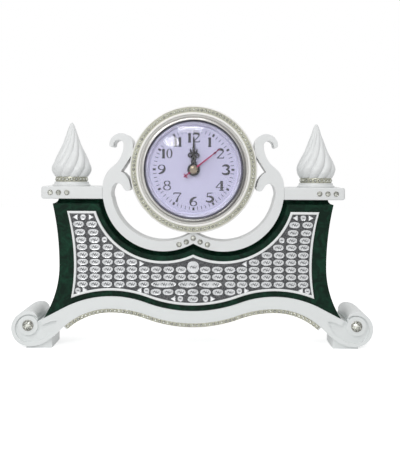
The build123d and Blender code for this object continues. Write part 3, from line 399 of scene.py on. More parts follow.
def facing(x, y, z, turn=0.0, size=1.0):
    """Place on the front for a shape made lying down: its up side faces the viewer."""
    stand = Matrix.Rotation(pi / 2, 4, "X")
    return (Matrix.Translation((x, y, z)) @ Matrix.Rotation(-turn, 4, "Y") @ stand
            @ Matrix.Diagonal((size, size, size, 1)))


def template(bm, name):
    """Mesh of a small shape that is going to be repeated."""
    bmesh.ops.recalc_face_normals(bm, faces=bm.faces)
    mesh = bpy.data.meshes.new(name)
    bm.to_mesh(mesh)
    bm.free()
    return mesh


def piece(name, bm, body, looks, solids=(), smooth=35.0, merge=MERGE):
    """Finished piece: closed, its faces outwards, in metres, riding on its body."""
    bmesh.ops.remove_doubles(bm, verts=bm.verts, dist=merge)
    bmesh.ops.recalc_face_normals(bm, faces=bm.faces)
    bmesh.ops.scale(bm, vec=(MM, MM, MM), verts=bm.verts)
    mesh = bpy.data.meshes.new(name)
    bm.to_mesh(mesh)
    bm.free()
    for look in looks:
        mesh.materials.append(look)
    mesh.shade_smooth()
    mesh.set_sharp_from_angle(angle=radians(smooth))
    made = bpy.data.objects.new(name, mesh)
    bpy.context.scene.collection.objects.link(made)
    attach(made, body)
    if solids:
        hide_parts(*solids)
    return made


def soften(made, width, segments=3):
    """Round the sharp edges of a piece with a live bevel."""
    bevel = made.modifiers.new("soft edges", "BEVEL")
    bevel.width = width * MM
    bevel.segments = segments
    bevel.limit_method = "ANGLE"
    bevel.angle_limit = radians(SHARP_TURN)
    bevel.harden_normals = True
    bevel.miter_outer = "MITER_ARC"


def copied(solids):
    """Mesh with the shapes of CAD nodes, in millimetres and with their loose triangles joined."""
    bm = bmesh.new()
    for name in solids:
        bm.from_mesh(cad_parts[name].data)
    bmesh.ops.scale(bm, vec=(1 / MM, 1 / MM, 1 / MM), verts=bm.verts)
    bmesh.ops.remove_doubles(bm, verts=bm.verts, dist=0.002)
    return bm


def flattened(bm):
    """Join the faces that lie in one plane."""
    bmesh.ops.dissolve_limit(bm, angle_limit=radians(1.0), verts=bm.verts, edges=bm.edges)


def dressed(solid, look, width, body="case"):
    """Stand-in for a CAD node: its own shape, closed and with soft edges."""
    bm = copied([solid])
    flattened(bm)
    soften(piece(solid + "_dressed", bm, body, [look], [solid]), width)


# Finishes
def node(tree, kind, inputs=(), **settings):
    """New shader node with the given settings and values at its inputs."""
    made = tree.nodes.new(kind)
    for name, value in settings.items():
        setattr(made, name, value)
    for name, value in dict(inputs).items():
        made.inputs[name].default_value = value
    return made


def textured(tree, kind, inputs=(), **settings):
    """New shader node that reads the piece's Object coordinates."""
    made = node(tree, kind, inputs, **settings)
    tree.links.new(node(tree, "ShaderNodeTexCoord").outputs["Object"], made.inputs[0])
    return made


def surface_grain():
    """Node group: fine grain and broad mottling of a surface, as masks."""
    group = bpy.data.node_groups.get("surface_grain")
    if group:
        return group
    group = bpy.data.node_groups.new("surface_grain", "ShaderNodeTree")
    for label, value in (("Fine Scale", 600.0), ("Broad Scale", 40.0)):
        socket = group.interface.new_socket(name=label, in_out="INPUT", socket_type="NodeSocketFloat")
        socket.default_value = value
    for label in ("Fine", "Broad"):
        group.interface.new_socket(name=label, in_out="OUTPUT", socket_type="NodeSocketFloat")
    inside, outside = node(group, "NodeGroupInput"), node(group, "NodeGroupOutput")
    for label, detail, warp in (("Fine", 4.0, 0.0), ("Broad", 5.0, 0.6)):
        noise = textured(group, "ShaderNodeTexNoise", {"Detail": detail, "Distortion": warp})
        group.links.new(inside.outputs[label + " Scale"], noise.inputs["Scale"])
        group.links.new(noise.outputs["Fac"], outside.inputs[label])
    return group


def tinted(tree, shader, mask, first, second):
    """Base colour between two colours or colour outputs, by a mask."""
    mix = node(tree, "ShaderNodeMix", data_type="RGBA")
    tree.links.new(mask, mix.inputs["Factor"])
    for socket, value in ((mix.inputs[6], first), (mix.inputs[7], second)):
        if isinstance(value, bpy.types.NodeSocket):
            tree.links.new(value, socket)
        else:
            socket.default_value = (*value[:3], 1.0)
    tree.links.new(mix.outputs[2], shader.inputs["Base Color"])


def ranged(tree, value, from_low, from_high, to_low=0.0, to_high=1.0):
    """Value carried from one range to another."""
    carry = node(tree, "ShaderNodeMapRange", {"From Min": from_low, "From Max": from_high,
                                              "To Min": to_low, "To Max": to_high})
    tree.links.new(value, carry.inputs["Value"])
    return carry.outputs["Result"]


def surfaced(tree, output, mask, first, second):
    """Surface between two shaders, by a mask."""
    blend = node(tree, "ShaderNodeMixShader")
    for number, socket in enumerate((mask, first, second)):
        tree.links.new(socket, blend.inputs[number])
    tree.links.new(blend.outputs["Shader"], tree.nodes[output].inputs["Surface"])


def shaded(colour, share):
    """Colour made darker or lighter by a share."""
    return tuple(min(1.0, channel * share) for channel in colour[:3])


def finish(name, colour, roughness, metallic=0.0, fine=600.0, shade=0.08, bump=0.05, broad=40.0,
           swing=0.06, more=None):
    """Material with mottled colour, uneven gloss and fine relief, and with what more() adds."""
    label = name + "_look"
    look = bpy.data.materials.get(label)
    if look:
        return look
    look = bpy.data.materials.new(label)
    look.use_nodes = True
    tree = look.node_tree
    shader = tree.nodes["Principled BSDF"]
    shader.inputs["Base Color"].default_value = (*colour[:3], 1.0)
    shader.inputs["Metallic"].default_value = metallic
    grain = node(tree, "ShaderNodeGroup", {"Fine Scale": fine, "Broad Scale": broad},
                 node_tree=surface_grain())
    if shade:
        tinted(tree, shader, grain.outputs["Broad"], shaded(colour, 1 - shade), shaded(colour, 1 + shade))
    gloss = ranged(tree, grain.outputs["Fine"], 0.3, 0.7, max(roughness - swing, 0.0), roughness + swing)
    tree.links.new(gloss, shader.inputs["Roughness"])
    if bump:
        relief = node(tree, "ShaderNodeBump", {"Strength": bump, "Distance": 0.0002})
        tree.links.new(grain.outputs["Fine"], relief.inputs["Height"])
        tree.links.new(relief.outputs["Normal"], shader.inputs["Normal"])
    if more:
        more(tree, shader)
    return look


def resin(name="white_resin", colour=None):
    """White cast resin, in another tone where one is given."""
    return finish(name, colour or colours().resin, 0.36, fine=900.0, shade=0.02, bump=0.04, broad=25.0)


def ring_resin():
    """Resin of the ring: a warmer cream tone, made brighter than the other white resin as painted light."""
    return resin("ring_resin", colours().ring)


def stones(name, colour):
    """Cut stones, each a little lighter or darker than the next."""
    def tones(tree, shader):
        cells = textured(tree, "ShaderNodeTexVoronoi", {"Scale": 620.0})
        split = node(tree, "ShaderNodeSeparateColor")
        tree.links.new(cells.outputs["Color"], split.inputs["Color"])
        mask = ranged(tree, split.outputs["Red"], 0.25, 0.75)
        tinted(tree, shader, mask, shaded(colour, 0.60), shaded(colour, 1.25))

    return finish(name, colour, 0.10, metallic=0.35, fine=1500.0, shade=0.0, bump=0.02, swing=0.05,
                  more=tones)


def facet_looks():
    """Looks of a stone's facets: its own colour, and a darker copy as painted shade on every other facet."""
    return [stones("cut_stone", colours().stone), stones("painted_shade_stone", colours().stone_deep)]


def stone_looks():
    """Looks of a set stone: its setting and its facets."""
    setting = finish("stone_setting", colours().setting, 0.32, metallic=0.55, fine=1500.0, shade=0.25,
                     bump=0.1)
    return [setting, *facet_looks()]


def panel_look():
    """Deep green body with cloudy mottling and a soft gloss."""
    def clouds(tree, shader):
        shader.inputs["Specular IOR Level"].default_value = 0.10
        noise = textured(tree, "ShaderNodeTexNoise", {"Scale": 120.0, "Detail": 8.0, "Roughness": 0.65,
                                                      "Distortion": 1.4})
        mask = ranged(tree, noise.outputs["Fac"], 0.44, 0.68)
        tinted(tree, shader, mask, colours().panel, colours().panel_vein)

    return finish("green_resin", colours().panel, 0.38, fine=700.0, shade=0.0, broad=70.0, more=clouds)


def glass_look():
    """Clear, faintly smudged glass that lets the lamps' light through to the dial."""
    def clear(tree, shader):
        shader.inputs["Transmission Weight"].default_value = 1.0
        shader.inputs["IOR"].default_value = 1.22
        shadow = node(tree, "ShaderNodeLightPath").outputs["Is Shadow Ray"]
        through = node(tree, "ShaderNodeBsdfTransparent").outputs["BSDF"]
        surfaced(tree, "Material Output", shadow, shader.outputs["BSDF"], through)

    return finish("lens_glass", (1.0, 1.0, 1.0), 0.006, fine=90.0, shade=0.0, bump=0.0, swing=0.006,
                  more=clear)


def dial_look():
    """Pale lacquer of the dial."""
    return finish("dial_face", colours().dial, 0.45, fine=1200.0, shade=0.02, bump=0.03, broad=20.0)


# Plain finishes: colour, roughness, metallic, scale of the grain, shade of the mottling and relief,
# and after them the scale of the mottling and the swing of the roughness where they differ
PLAIN_LOOKS = {
    "chrome": ((0.62, 0.61, 0.59), 0.16, 1.0, 300.0, 0.04, 0.01, 40.0, 0.04),
    # Painted shade and light: the sight's slope is a darker copy of the dial's lilac, its steep wall a
    # lighter copy
    "sight_slope_painted_shade": ((0.28, 0.275, 0.37), 0.45, 0.1, 500.0, 0.10, 0.02),
    "sight_wall_painted_light": ((0.44, 0.43, 0.58), 0.45, 0.0, 500.0, 0.04, 0.02),
    # Painted shadow: near-black in the groove between the glass and the bezel's crest
    "rim_groove_painted_shadow": ((0.10, 0.10, 0.11), 0.40, 0.3, 500.0, 0.10, 0.02),
    "gem_rim": ((0.36, 0.36, 0.34), 0.28, 0.7, 1500.0, 0.15, 0.05),
    # Painted shade: darker grey on the ring's bed between the beads
    "bead_bed_painted_shade": ((0.66, 0.65, 0.62), 0.50, 0.0, 900.0, 0.12, 0.04),
    "black_paint": ((0.012, 0.012, 0.014), 0.28, 0.0, 900.0, 0.20, 0.03),
    "cap_brass": ((0.22, 0.185, 0.145), 0.14, 1.0, 900.0, 0.08, 0.03),
    "dial_ink": ((0.015, 0.015, 0.02), 0.50, 0.0, 900.0, 0.20, 0.02),
    "plaque_rim": ((0.82, 0.835, 0.835), 0.30, 0.0, 900.0, 0.03, 0.03),
    "dull_silver": ((0.56, 0.57, 0.58), 0.34, 0.8, 900.0, 0.20, 0.15, 160.0),
    "silver": ((0.72, 0.73, 0.74), 0.26, 0.85, 900.0, 0.12, 0.10, 160.0),
    "sprig_dark": ((0.09, 0.093, 0.098), 0.40, 0.6, 900.0, 0.25, 0.10),
    "gunmetal": ((0.050, 0.052, 0.055), 0.42, 0.7, 900.0, 0.35, 0.25, 120.0),
    "black_plastic": ((0.018, 0.018, 0.020), 0.42, 0.0, 1200.0, 0.12, 0.15),
    "movement_plastic": ((0.03, 0.03, 0.034), 0.38, 0.0, 900.0, 0.10, 0.08),
    "wheel_plastic": ((0.62, 0.60, 0.52), 0.40, 0.0, 700.0, 0.06, 0.05),
    "steel": ((0.56, 0.57, 0.58), 0.24, 1.0, 900.0, 0.06, 0.03),
    "magnet_black": ((0.05, 0.05, 0.055), 0.45, 0.4, 900.0, 0.15, 0.08),
    "contact_brass": ((0.66, 0.48, 0.20), 0.26, 1.0, 700.0, 0.07, 0.04),
    "copper_wire": ((0.62, 0.25, 0.11), 0.32, 0.9, 2500.0, 0.15, 0.20),
    "board": ((0.02, 0.12, 0.05), 0.35, 0.0, 900.0, 0.12, 0.05),
    "soft_band": ((0.55, 0.56, 0.55), 0.55, 0.0, 700.0, 0.05, 0.10),
}


def plain(name, more=None):
    """One of the clock's plainer finishes."""
    return finish(name, *PLAIN_LOOKS[name], more=more)


def over(tree, shader, mask, colour):
    """Lay another colour over a finish's own, by a mask."""
    before = shader.inputs["Base Color"].links[0].from_socket
    tinted(tree, shader, mask, before, colour)


def lattice_look():
    """Dark ground of the plaque with a net of fine lighter lines."""
    def net(tree, shader):
        cells = textured(tree, "ShaderNodeTexVoronoi", {"Scale": 620.0}, feature="DISTANCE_TO_EDGE")
        line = ranged(tree, cells.outputs["Distance"], 0.03, 0.14, 1.0, 0.0)
        over(tree, shader, line, (0.12, 0.122, 0.125))

    return plain("gunmetal", net)


def chrome_look():
    """Chrome with a painted dark reflection that darkens it towards the lower right."""
    def dull(tree, shader):
        way = Vector((0.8, 0.0, -0.6))
        along = textured(tree, "ShaderNodeVectorMath", operation="DOT_PRODUCT")
        along.inputs[1].default_value = way
        middle, reach = way.z * RING_Z * MM, BEZEL_R * MM
        mask = ranged(tree, along.outputs["Value"], middle - reach, middle + reach)
        # Painted dark reflection: a near-black chrome colour laid on towards the lower right
        over(tree, shader, mask, (0.15, 0.147, 0.145))

    return plain("chrome", dull)


# Operators
def reach_of(face):
    """Distance of a face's middle from the dial's axis, and its depth."""
    middle = face.calc_center_median()
    return hypot(middle.x, middle.z - RING_Z), middle.y


class CLOCK_OT_ring(bpy.types.Operator):
    """Turn the white ring with its stone channel, ridge and bead bed"""
    bl_idname = "clock.ring"
    bl_label = "Ring"

    def execute(self, context):
        front, floor = RING_FRONT, RING_FRONT + CHANNEL_DEPTH
        bed = front + BEAD_SINK
        mid = (CHANNEL_INNER + RIDGE_INNER) / 2
        half = (CHANNEL_INNER - RIDGE_INNER) / 2
        ridge = [(x, -z) for x, z in arc(mid, -(front + RIDGE_SINK), half, 0, 180, 8)]
        outline = [
            (RING_BORE, RING_BACK), (RING_R - 0.8, RING_BACK), (RING_R - 0.2, RING_BACK - 0.25),
            (RING_R, RING_BACK - 0.8), (RING_R, front + 0.9), (RING_R - 0.12, front + 0.4),
            (RING_R - 0.4, front + 0.1), (RING_R - 0.8, front), (CHANNEL_OUTER + 0.15, front),
            (CHANNEL_OUTER, front + 0.12), (CHANNEL_OUTER, floor), (CHANNEL_INNER, floor),
            *ridge,
            (RIDGE_INNER, bed - 0.2), (RIDGE_INNER - 0.25, bed + 0.05), (BEAD_INNER + 0.25, bed + 0.05),
            (BEAD_INNER, bed - 0.1), (SEAT_R, SEAT_Y), (RING_BORE, SEAT_Y),
        ]
        bm = bmesh.new()
        spun(bm, outline, CENTRE, BACKWARDS, ROUND_SIDES)
        # The bed between the beads gets a darker grey than the ring, as painted shade
        for face in bm.faces:
            reach, depth = reach_of(face)
            if BEAD_INNER < reach < RIDGE_INNER and depth < bed + 0.3:
                face.material_index = 1
        piece("ring_turned", bm, "case", [ring_resin(), plain("bead_bed_painted_shade")],
              ["clock_ring"], smooth=50)

        bead = bmesh.new()
        bmesh.ops.create_uvsphere(bead, u_segments=8, v_segments=5, radius=1.0)
        shape = template(bead, "bead")
        count, radius = sizes().bead_count, sizes().bead_radius / MM
        spots = arc(0, RING_Z, (RIDGE_INNER + BEAD_INNER) / 2, 0, 360 * (count - 1) / count, count - 1)
        bm = bmesh.new()
        repeat(bm, shape, [facing(x, bed - 0.1, z, size=radius) for x, z in spots])
        piece("ring_beads", bm, "case", [ring_resin()], smooth=80, merge=KEEP_APART)
        return {"FINISHED"}


def cut(faces, sides):
    """Give every other facet of a stone the darker copy of its colour, as painted shade."""
    for face in faces:
        middle = face.calc_center_median()
        facet = round(atan2(middle.y, middle.x) / (2 * pi) * sides - 0.25)
        face.material_index = 2 if facet % 2 and hypot(middle.x, middle.y) > 0.1 else 1


def set_stone(rise, sides=8):
    """Small cut stone of radius one in its cup."""
    bm = bmesh.new()
    cup = 0.5 * rise
    bands = stacked(bm, [(1.0, 0.0), (0.97, cup), (0.80, cup + 0.06), (0.76, cup * 0.7), (0.46, rise)],
                    sides, CROWN_ROW)
    cut(bands[-1] + bands[-2], sides)
    return template(bm, "set_stone")


def stone_piece(name, bm, looks, solid):
    """Finished piece of cut stones."""
    piece(name, bm, "case", looks, [solid], smooth=20, merge=KEEP_APART)


class CLOCK_OT_chains(bpy.types.Operator):
    """Set the rows of small stones round the ring and along the rail"""
    bl_idname = "clock.chains"
    bl_label = "Stone Chains"

    def execute(self, context):
        floor = RING_FRONT + CHANNEL_DEPTH
        bed = floor - CHAIN_BED
        reach = (CHANNEL_OUTER + CHANNEL_INNER) / 2
        size = 2 * pi * reach / RING_STONES * RING_STONE_SHARE
        bm = bmesh.new()
        washer(bm, 0, RING_Z, CHANNEL_OUTER - 0.05, CHANNEL_INNER + 0.05, floor - 0.05, bed - 0.05,
               RING_STONES)
        shape = set_stone(CHAIN_RISE)
        turns = [2 * pi * number / RING_STONES for number in range(RING_STONES)]
        repeat(bm, shape, [facing(reach * cos(turn), bed, RING_Z + reach * sin(turn), turn, size)
                           for turn in turns])
        stone_piece("ring_stones", bm, stone_looks(), "ring_stone_chain")

        back = span("rail_stone_chain")[1].y
        front = back - RAIL_BED
        line = mirrored(rail_under(*ROW_MIDDLE, step=1.0))
        length = sum(hypot(b[0] - a[0], b[1] - a[1]) for a, b in zip(line, line[1:]))
        size = RAIL_STONE_SHARE * length / RAIL_STONES
        bm = bmesh.new()
        slab(bm, mirrored(rail_under(*ROW_LOW)) + mirrored(rail_under(*ROW_HIGH))[::-1], front, back)
        repeat(bm, shape, [facing(x, front, z, turn, size) for x, z, turn in evenly(line, RAIL_STONES)])
        stone_piece("rail_stones", bm, stone_looks(), "rail_stone_chain")
        return {"FINISHED"}


def gems(name, solid, looks, spots, radius, rise, sides):
    """Single round stones in beaded rims, standing on the front."""
    shape = bmesh.new()
    bands = stacked(shape, [(wide, share * rise / radius) for wide, share in GEM_ROWS], sides, CROWN_ROW)
    cut(bands[-1] + bands[-2] + bands[-3], sides)
    bm = bmesh.new()
    repeat(bm, template(shape, "round_stone"), [facing(x, FACE_Y, z, 0.0, radius) for x, z in spots])
    stone_piece(name, bm, looks, solid)


class CLOCK_OT_stones(bpy.types.Operator):
    """Set the single stones on the ledges, under the ring and in the feet"""
    bl_idname = "clock.stones"
    bl_label = "Single Stones"

    def execute(self, context):
        looks = [plain("gem_rim"), *facet_looks()]
        ledge_z = (LEDGE_LOW + LEDGE_TOP) / 2
        spots = [(side * (LEDGE_GEM_X + number * LEDGE_GEM_STEP), ledge_z)
                 for side in (-1, 1) for number in range(3)]
        gems("ledge_gems", "ledge_stones", looks, spots, *SMALL_GEM)

        band_r = (LYRE_R + LYRE_INNER_R) / 2
        start = -90 - degrees(asin(LYRE_X / band_r))
        spots = []
        for number in range(3):
            turn = radians(start + number * CRESCENT_GEM_TURN)
            x, z = LYRE_X + band_r * cos(turn), LYRE_Z + band_r * sin(turn)
            spots += [(side * x, z) for side in ((-1, 1) if number else (1,))]
        gems("crescent_gems", "crescent_stones", looks, spots, *SMALL_GEM)
        gems("foot_gems", "foot_stones", looks, [(-FOOT_GEM_X, FOOT_GEM_Z), (FOOT_GEM_X, FOOT_GEM_Z)],
             *FOOT_GEM)
        return {"FINISHED"}


def base_moulding():
    """Rail and feet as one moulding, without the faces where the solids meet."""
    def at_seam(vert, near_z=inf):
        return abs(abs(vert.co.x) - SEAM_X) < 0.01 and abs(vert.co.z - SEAM_Z) < near_z

    solids = ["base_rail", "foot_scroll_left", "foot_scroll_right"]
    bm = copied(solids)
    met = [face for face in bm.faces if all(at_seam(vert) for vert in face.verts)]
    bmesh.ops.delete(bm, geom=met, context="FACES")
    # The feet's long edges at the seam are split where the rail's front edge meets them
    for edge in list(bm.edges):
        first, second = edge.verts
        length = second.co.y - first.co.y
        if all(at_seam(vert, 0.02) for vert in edge.verts) and abs(length) > SEAM_LENGTH:
            bmesh.utils.edge_split(edge, first, (FACE_Y + SEAM_SPLIT - first.co.y) / length)
    bmesh.ops.remove_doubles(bm, verts=bm.verts, dist=0.01)
    flattened(bm)
    return piece("base_moulding", bm, "case", [resin("base_resin", colours().base)], solids)


def panel_cove():
    """Hollow under the ledges and the crescent: a quarter of an oval that fills the body's step."""
    back = span("panel_body")[1].y

    def contour(drop, depth, side):
        y, z, reach = BODY_FRONT + depth, LEDGE_LOW - drop, LYRE_R + drop
        start, end = degrees(asin((LYRE_Z - z) / reach)), 90 + degrees(asin(LYRE_X / reach))
        turned = arc(LYRE_X, LYRE_Z, reach, -start, -end, 48)
        half = [(side, back - 0.02, z)]
        half += [(side + (turned[0][0] - side) * step / 4, y, z) for step in range(4)]
        half += [(x, y, high) for x, high in turned]
        return half + [(-x, y, high) for x, y, high in half[-2::-1]]

    rows = []
    for turn in (8, 20, 32, 44, 56, 68, 80, 90):
        across, inwards = cos(radians(turn)), sin(radians(turn))
        rows.append(contour(COVE_DROP * across, COVE_DEPTH * inwards, COVE_END - COVE_IN * inwards))
    rows += [contour(*row) for row in COVE_HIDDEN]
    bm = bmesh.new()
    rings = [[bm.verts.new(point) for point in row] for row in rows]
    for ring, other in zip(rings, rings[1:] + rings[:1]):
        for number in range(len(ring) - 1):
            bm.faces.new((ring[number], ring[number + 1], other[number + 1], other[number]))
    for end in (0, -1):
        bm.faces.new([ring[end] for ring in rings])
    piece("panel_cove", bm, "case", [panel_look()], smooth=40, merge=KEEP_APART)


class CLOCK_OT_case(bpy.types.Operator):
    """Dress the lyre, ledges, rail, feet and body with soft edges"""
    bl_idname = "clock.case"
    bl_label = "Case"

    def execute(self, context):
        soft = sizes().soft_edge / MM
        for name in ("lyre_frame", "ledge_left", "ledge_right"):
            dressed(name, resin(), soft)
        soften(base_moulding(), soft)
        dressed("panel_body", panel_look(), PANEL_EDGE)
        panel_cove()
        return {"FINISHED"}


def smooth_reach(table, height):
    """Radius at a height, on a smooth curve through the table's pairs."""
    last = len(table) - 1
    low = next((number for number in range(last) if height <= table[number + 1][0]), last - 1)
    (h0, r0), (h1, r1), (h2, r2), (h3, r3) = (table[min(max(number, 0), last)]
                                              for number in range(low - 1, low + 3))
    share = (height - h1) / (h2 - h1)
    m1 = (r2 - r0) / (h2 - h0) * (h2 - h1)
    m2 = (r3 - r1) / (h3 - h1) * (h2 - h1)
    s2, s3 = share ** 2, share ** 3
    return ((2 * s3 - 3 * s2 + 1) * r1 + (s3 - 2 * s2 + share) * m1 + (3 * s2 - 2 * s3) * r2
            + (s3 - s2) * m2)


def flame(hand, foot):
    """Flame whose lobes twist round it up to the tip."""
    lobes, groove = sizes().flame_lobes, sizes().flame_groove
    heights = [FLAME_TOP * number / FLAME_ROWS for number in range(FLAME_ROWS + 1)]
    rows = [(smooth_reach(FLAME_OUTLINE, high), high) for high in heights]
    bm = bmesh.new()
    bmesh.ops.create_circle(bm, segments=lobes * LOBE_SIDES, radius=1.0)
    for vert in bm.verts:
        turn = atan2(vert.co.y, vert.co.x) * lobes / 2
        lobe = 1 - groove * (1 - abs(cos(turn)) ** 0.8)
        vert.co = vert.co * lobe * rows[0][0]
    edges = bm.edges[:]
    bmesh.ops.contextual_create(bm, geom=edges)
    edges = climb(bm, edges, rows, [sizes().flame_twist / FLAME_ROWS] * FLAME_ROWS)[1]
    tip = bmesh.ops.extrude_edge_only(bm, edges=edges)["geom"]
    bmesh.ops.pointmerge(bm, verts=only(BMVert, tip), merge_co=(0, 0, FLAME_TIP))
    bmesh.ops.translate(bm, verts=bm.verts, vec=foot + Vector((0, 0, FLAME_Z)))
    piece("flame_" + hand, bm, "case", [resin()], ["finial_flame_" + hand], smooth=60)


def plinth(hand, foot):
    """Turned plinth with a cove."""
    turns = [radians(10 * step) for step in range(10)]
    cove = [(PLINTH_R - PLINTH_COVE * sin(turn), PLINTH_COVE_LOW + PLINTH_COVE_HIGH * (1 - cos(turn)))
            for turn in turns]
    bm = bmesh.new()
    spun(bm, [*PLINTH_FOOT, *cove, *PLINTH_TOP], foot + Vector((0, 0, LEDGE_TOP)), UPWARDS, 96, closed=False)
    piece("plinth_" + hand, bm, "case", [resin()], ["finial_plinth_" + hand], smooth=40)


def collar(hand, foot):
    """Collar with a row of small stones."""
    bm = bmesh.new()
    spun(bm, COLLAR_OUTLINE, foot + Vector((0, 0, COLLAR_Z)), UPWARDS, 3 * COLLAR_STONES, closed=False)
    middle = Matrix.Translation(foot + Vector((0, 0, COLLAR_Z + COLLAR_HIGH / 2)))
    outwards = (Matrix.Translation((COLLAR_R, 0, 0)) @ Matrix.Rotation(pi / 2, 4, "Y")
                @ Matrix.Diagonal(COLLAR_STONE))
    repeat(bm, set_stone(COLLAR_RISE),
           [middle @ Matrix.Rotation(2 * pi * number / COLLAR_STONES, 4, "Z") @ outwards
            for number in range(COLLAR_STONES)])
    stone_piece("collar_" + hand, bm, stone_looks(), "finial_chain_" + hand)


class CLOCK_OT_finials(bpy.types.Operator):
    """Build the two finials: turned plinth, collar of stones and twisted flame"""
    bl_idname = "clock.finials"
    bl_label = "Finials"

    def execute(self, context):
        for side, hand in ((-1, "left"), (1, "right")):
            foot = Vector((side * FINIAL_X, FINIAL_Y, 0))
            flame(hand, foot)
            plinth(hand, foot)
            collar(hand, foot)
        return {"FINISHED"}


def plaque_outline(inset):
    """Outline of the plaque in the front view, drawn in by inset all round."""
    waist_x, foot_x = WAIST_X - inset, PLAQUE_FOOT_X - inset
    top_x, top_z = PLAQUE_TOP_X - inset, PLAQUE_TOP_Z - inset
    low = rail_top(RAIL_GAP + inset, foot_x, step=2.0)
    foot_z = low[-1][1]

    def side_radius(x, z):
        return ((x - waist_x) ** 2 + (z - WAIST_Z) ** 2) / (2 * (x - waist_x))

    low_r, high_r = side_radius(foot_x, foot_z), side_radius(top_x, top_z)
    low_turn = degrees(asin((WAIST_Z - foot_z) / low_r))
    high_turn = degrees(asin((top_z - WAIST_Z) / high_r))
    side = arc(waist_x + low_r, WAIST_Z, low_r, 180 + low_turn, 180, 14)[1:]
    side += arc(waist_x + high_r, WAIST_Z, high_r, 180, 180 - high_turn, 14)[1:]
    scoop_r = LYRE_R + CRESCENT_GAP + inset
    start = degrees(asin((top_z - LYRE_Z) / scoop_r))
    end = -90 - degrees(asin(LYRE_X / scoop_r))
    half = low + side + arc(LYRE_X, LYRE_Z, scoop_r, start, end, 60)
    return half + [(-x, z) for x, z in half[::-1] if x > 1e-3]


def boss(width, height):
    """Oval boss with a bright raised rim and a duller field, its longer side along X."""
    bm = bmesh.new()
    bands = stacked(bm, BOSS_ROWS, BOSS_SIDES)
    for face in bands[-1] + bands[-2]:
        face.material_index = 1
    for vert in bm.verts:
        turn = atan2(vert.co.y, vert.co.x)
        square = (abs(cos(turn)) ** 2.5 + abs(sin(turn)) ** 2.5) ** -0.4
        vert.co.x, vert.co.y = vert.co.x * square, vert.co.y * square
    bmesh.ops.scale(bm, vec=(width / 2, height / 2, BOSS_RISE), verts=bm.verts)
    return template(bm, "boss")


def wedge():
    """Three-sided boss."""
    bm = bmesh.new()
    stacked(bm, WEDGE_ROWS, 3)
    return template(bm, "wedge")


def swell(count, thin, thick):
    """Widths that grow from thin to thick in the middle and back."""
    return [thin + (thick - thin) * sin(pi * number / (count - 1)) for number in range(count)]


def sprig(bm, x, z, grow, front, back):
    """Small waving twig with six leaves, lying in an oval."""
    stem = [(x + grow * (2.4 * step / 4 - 2.4), z + grow * 0.42 * sin(pi * step / 4)) for step in range(9)]
    stroke(bm, stem, swell(9, 0.18, 0.44), front, back)
    for number in range(6):
        up = 1 if number % 2 else -1
        turn = radians(62 * up) + 0.15 * sin(number)
        length, width = grow * (1.25 if 0 < number < 5 else 0.9), grow * 0.48
        root_x, root_z = x + grow * (-1.9 + number * 0.76), z + grow * 0.10 * up
        leaf = [(root_x + length * share * cos(turn), root_z + length * share * sin(turn))
                for share in (0.0, 0.3, 0.6, 1.0)]
        stroke(bm, leaf, [0.08, width, width * 0.9, 0.04], front, back)


class CLOCK_OT_plaque(bpy.types.Operator):
    """Build the plaque: rounded rim, latticed ground and bosses with small sprigs"""
    bl_idname = "clock.plaque"
    bl_label = "Plaque"

    def execute(self, context):
        front = BODY_FRONT - RIM_RISE
        bm = bmesh.new()
        rings = [[bm.verts.new((x, front + depth, z)) for x, z in plaque_outline(inset)]
                 for inset, depth in RIM_ROWS]
        for low, high in zip(rings, rings[1:] + rings[:1]):
            loops = [bm.edges.get(pair) or bm.edges.new(pair)
                     for ring in (low, high) for pair in zip(ring, ring[1:] + ring[:1])]
            bmesh.ops.bridge_loops(bm, edges=loops)
        piece("plaque_rim", bm, "case", [plain("plaque_rim")], ["plaque_border"], smooth=50)

        ground = BODY_FRONT - GROUND_RISE
        bm = bmesh.new()
        slab(bm, plaque_outline(GROUND_INSET), ground, BODY_FRONT)
        piece("plaque_ground", bm, "case", [lattice_look()], ["plaque_plate"], smooth=30)

        width, height = sizes().boss_width / MM, sizes().boss_height / MM
        bosses = [(side * x, z, width, height) for z, columns in PLAQUE_ROWS for x in columns
                  for side in ((-1, 1) if x else (1,))]
        bosses += [(x, LONG_Z, wide, height) for x, wide in (*LONG_BOSSES, (LONE_BOSS_X, width))]
        rounds = [(side * x, z, ROUND_WIDTH) for x, z in PLAQUE_ROUNDS for side in (-1, 1)]
        bosses += [(x, z, wide, wide) for x, z, wide in (*rounds, MIDDLE_ROUND)]
        bm = bmesh.new()
        for x, z, wide, high in bosses:
            repeat(bm, boss(wide, high), [facing(x, ground + BOSS_SINK, z)])
        shape = wedge()
        for x, z, turn in PLAQUE_WEDGES:
            repeat(bm, shape, [facing(side * x, ground + BOSS_SINK, z, radians(way - 90))
                               for side, way in ((-1, 180 - turn), (1, turn))])
        piece("plaque_bosses", bm, "case", [plain("silver"), plain("dull_silver")],
              smooth=40, merge=KEEP_APART)

        bm = bmesh.new()
        for x, z, wide, _ in bosses:
            count = max(1, round((wide - 1.0) / 6.0))
            grow = min(1.0, (wide - 1.4) / 6.2)
            for number in range(count):
                sprig(bm, x + (number - (count - 1) / 2) * (wide - 1.4) / count, z, grow,
                      ground - SPRIG_FRONT, ground - SPRIG_BACK)
        piece("plaque_sprigs", bm, "case", [plain("sprig_dark")], smooth=40,
              merge=KEEP_APART)
        return {"FINISHED"}


def dome(edge, back):
    """Section of a dome as high as the glass, from its middle to its edge."""
    radius = (edge ** 2 + GLASS_RISE ** 2) / (2 * GLASS_RISE)
    turns = [asin(edge / radius) * step / 20 for step in range(21)]
    return [(radius * sin(turn), back - GLASS_RISE + radius * (1 - cos(turn))) for turn in turns]


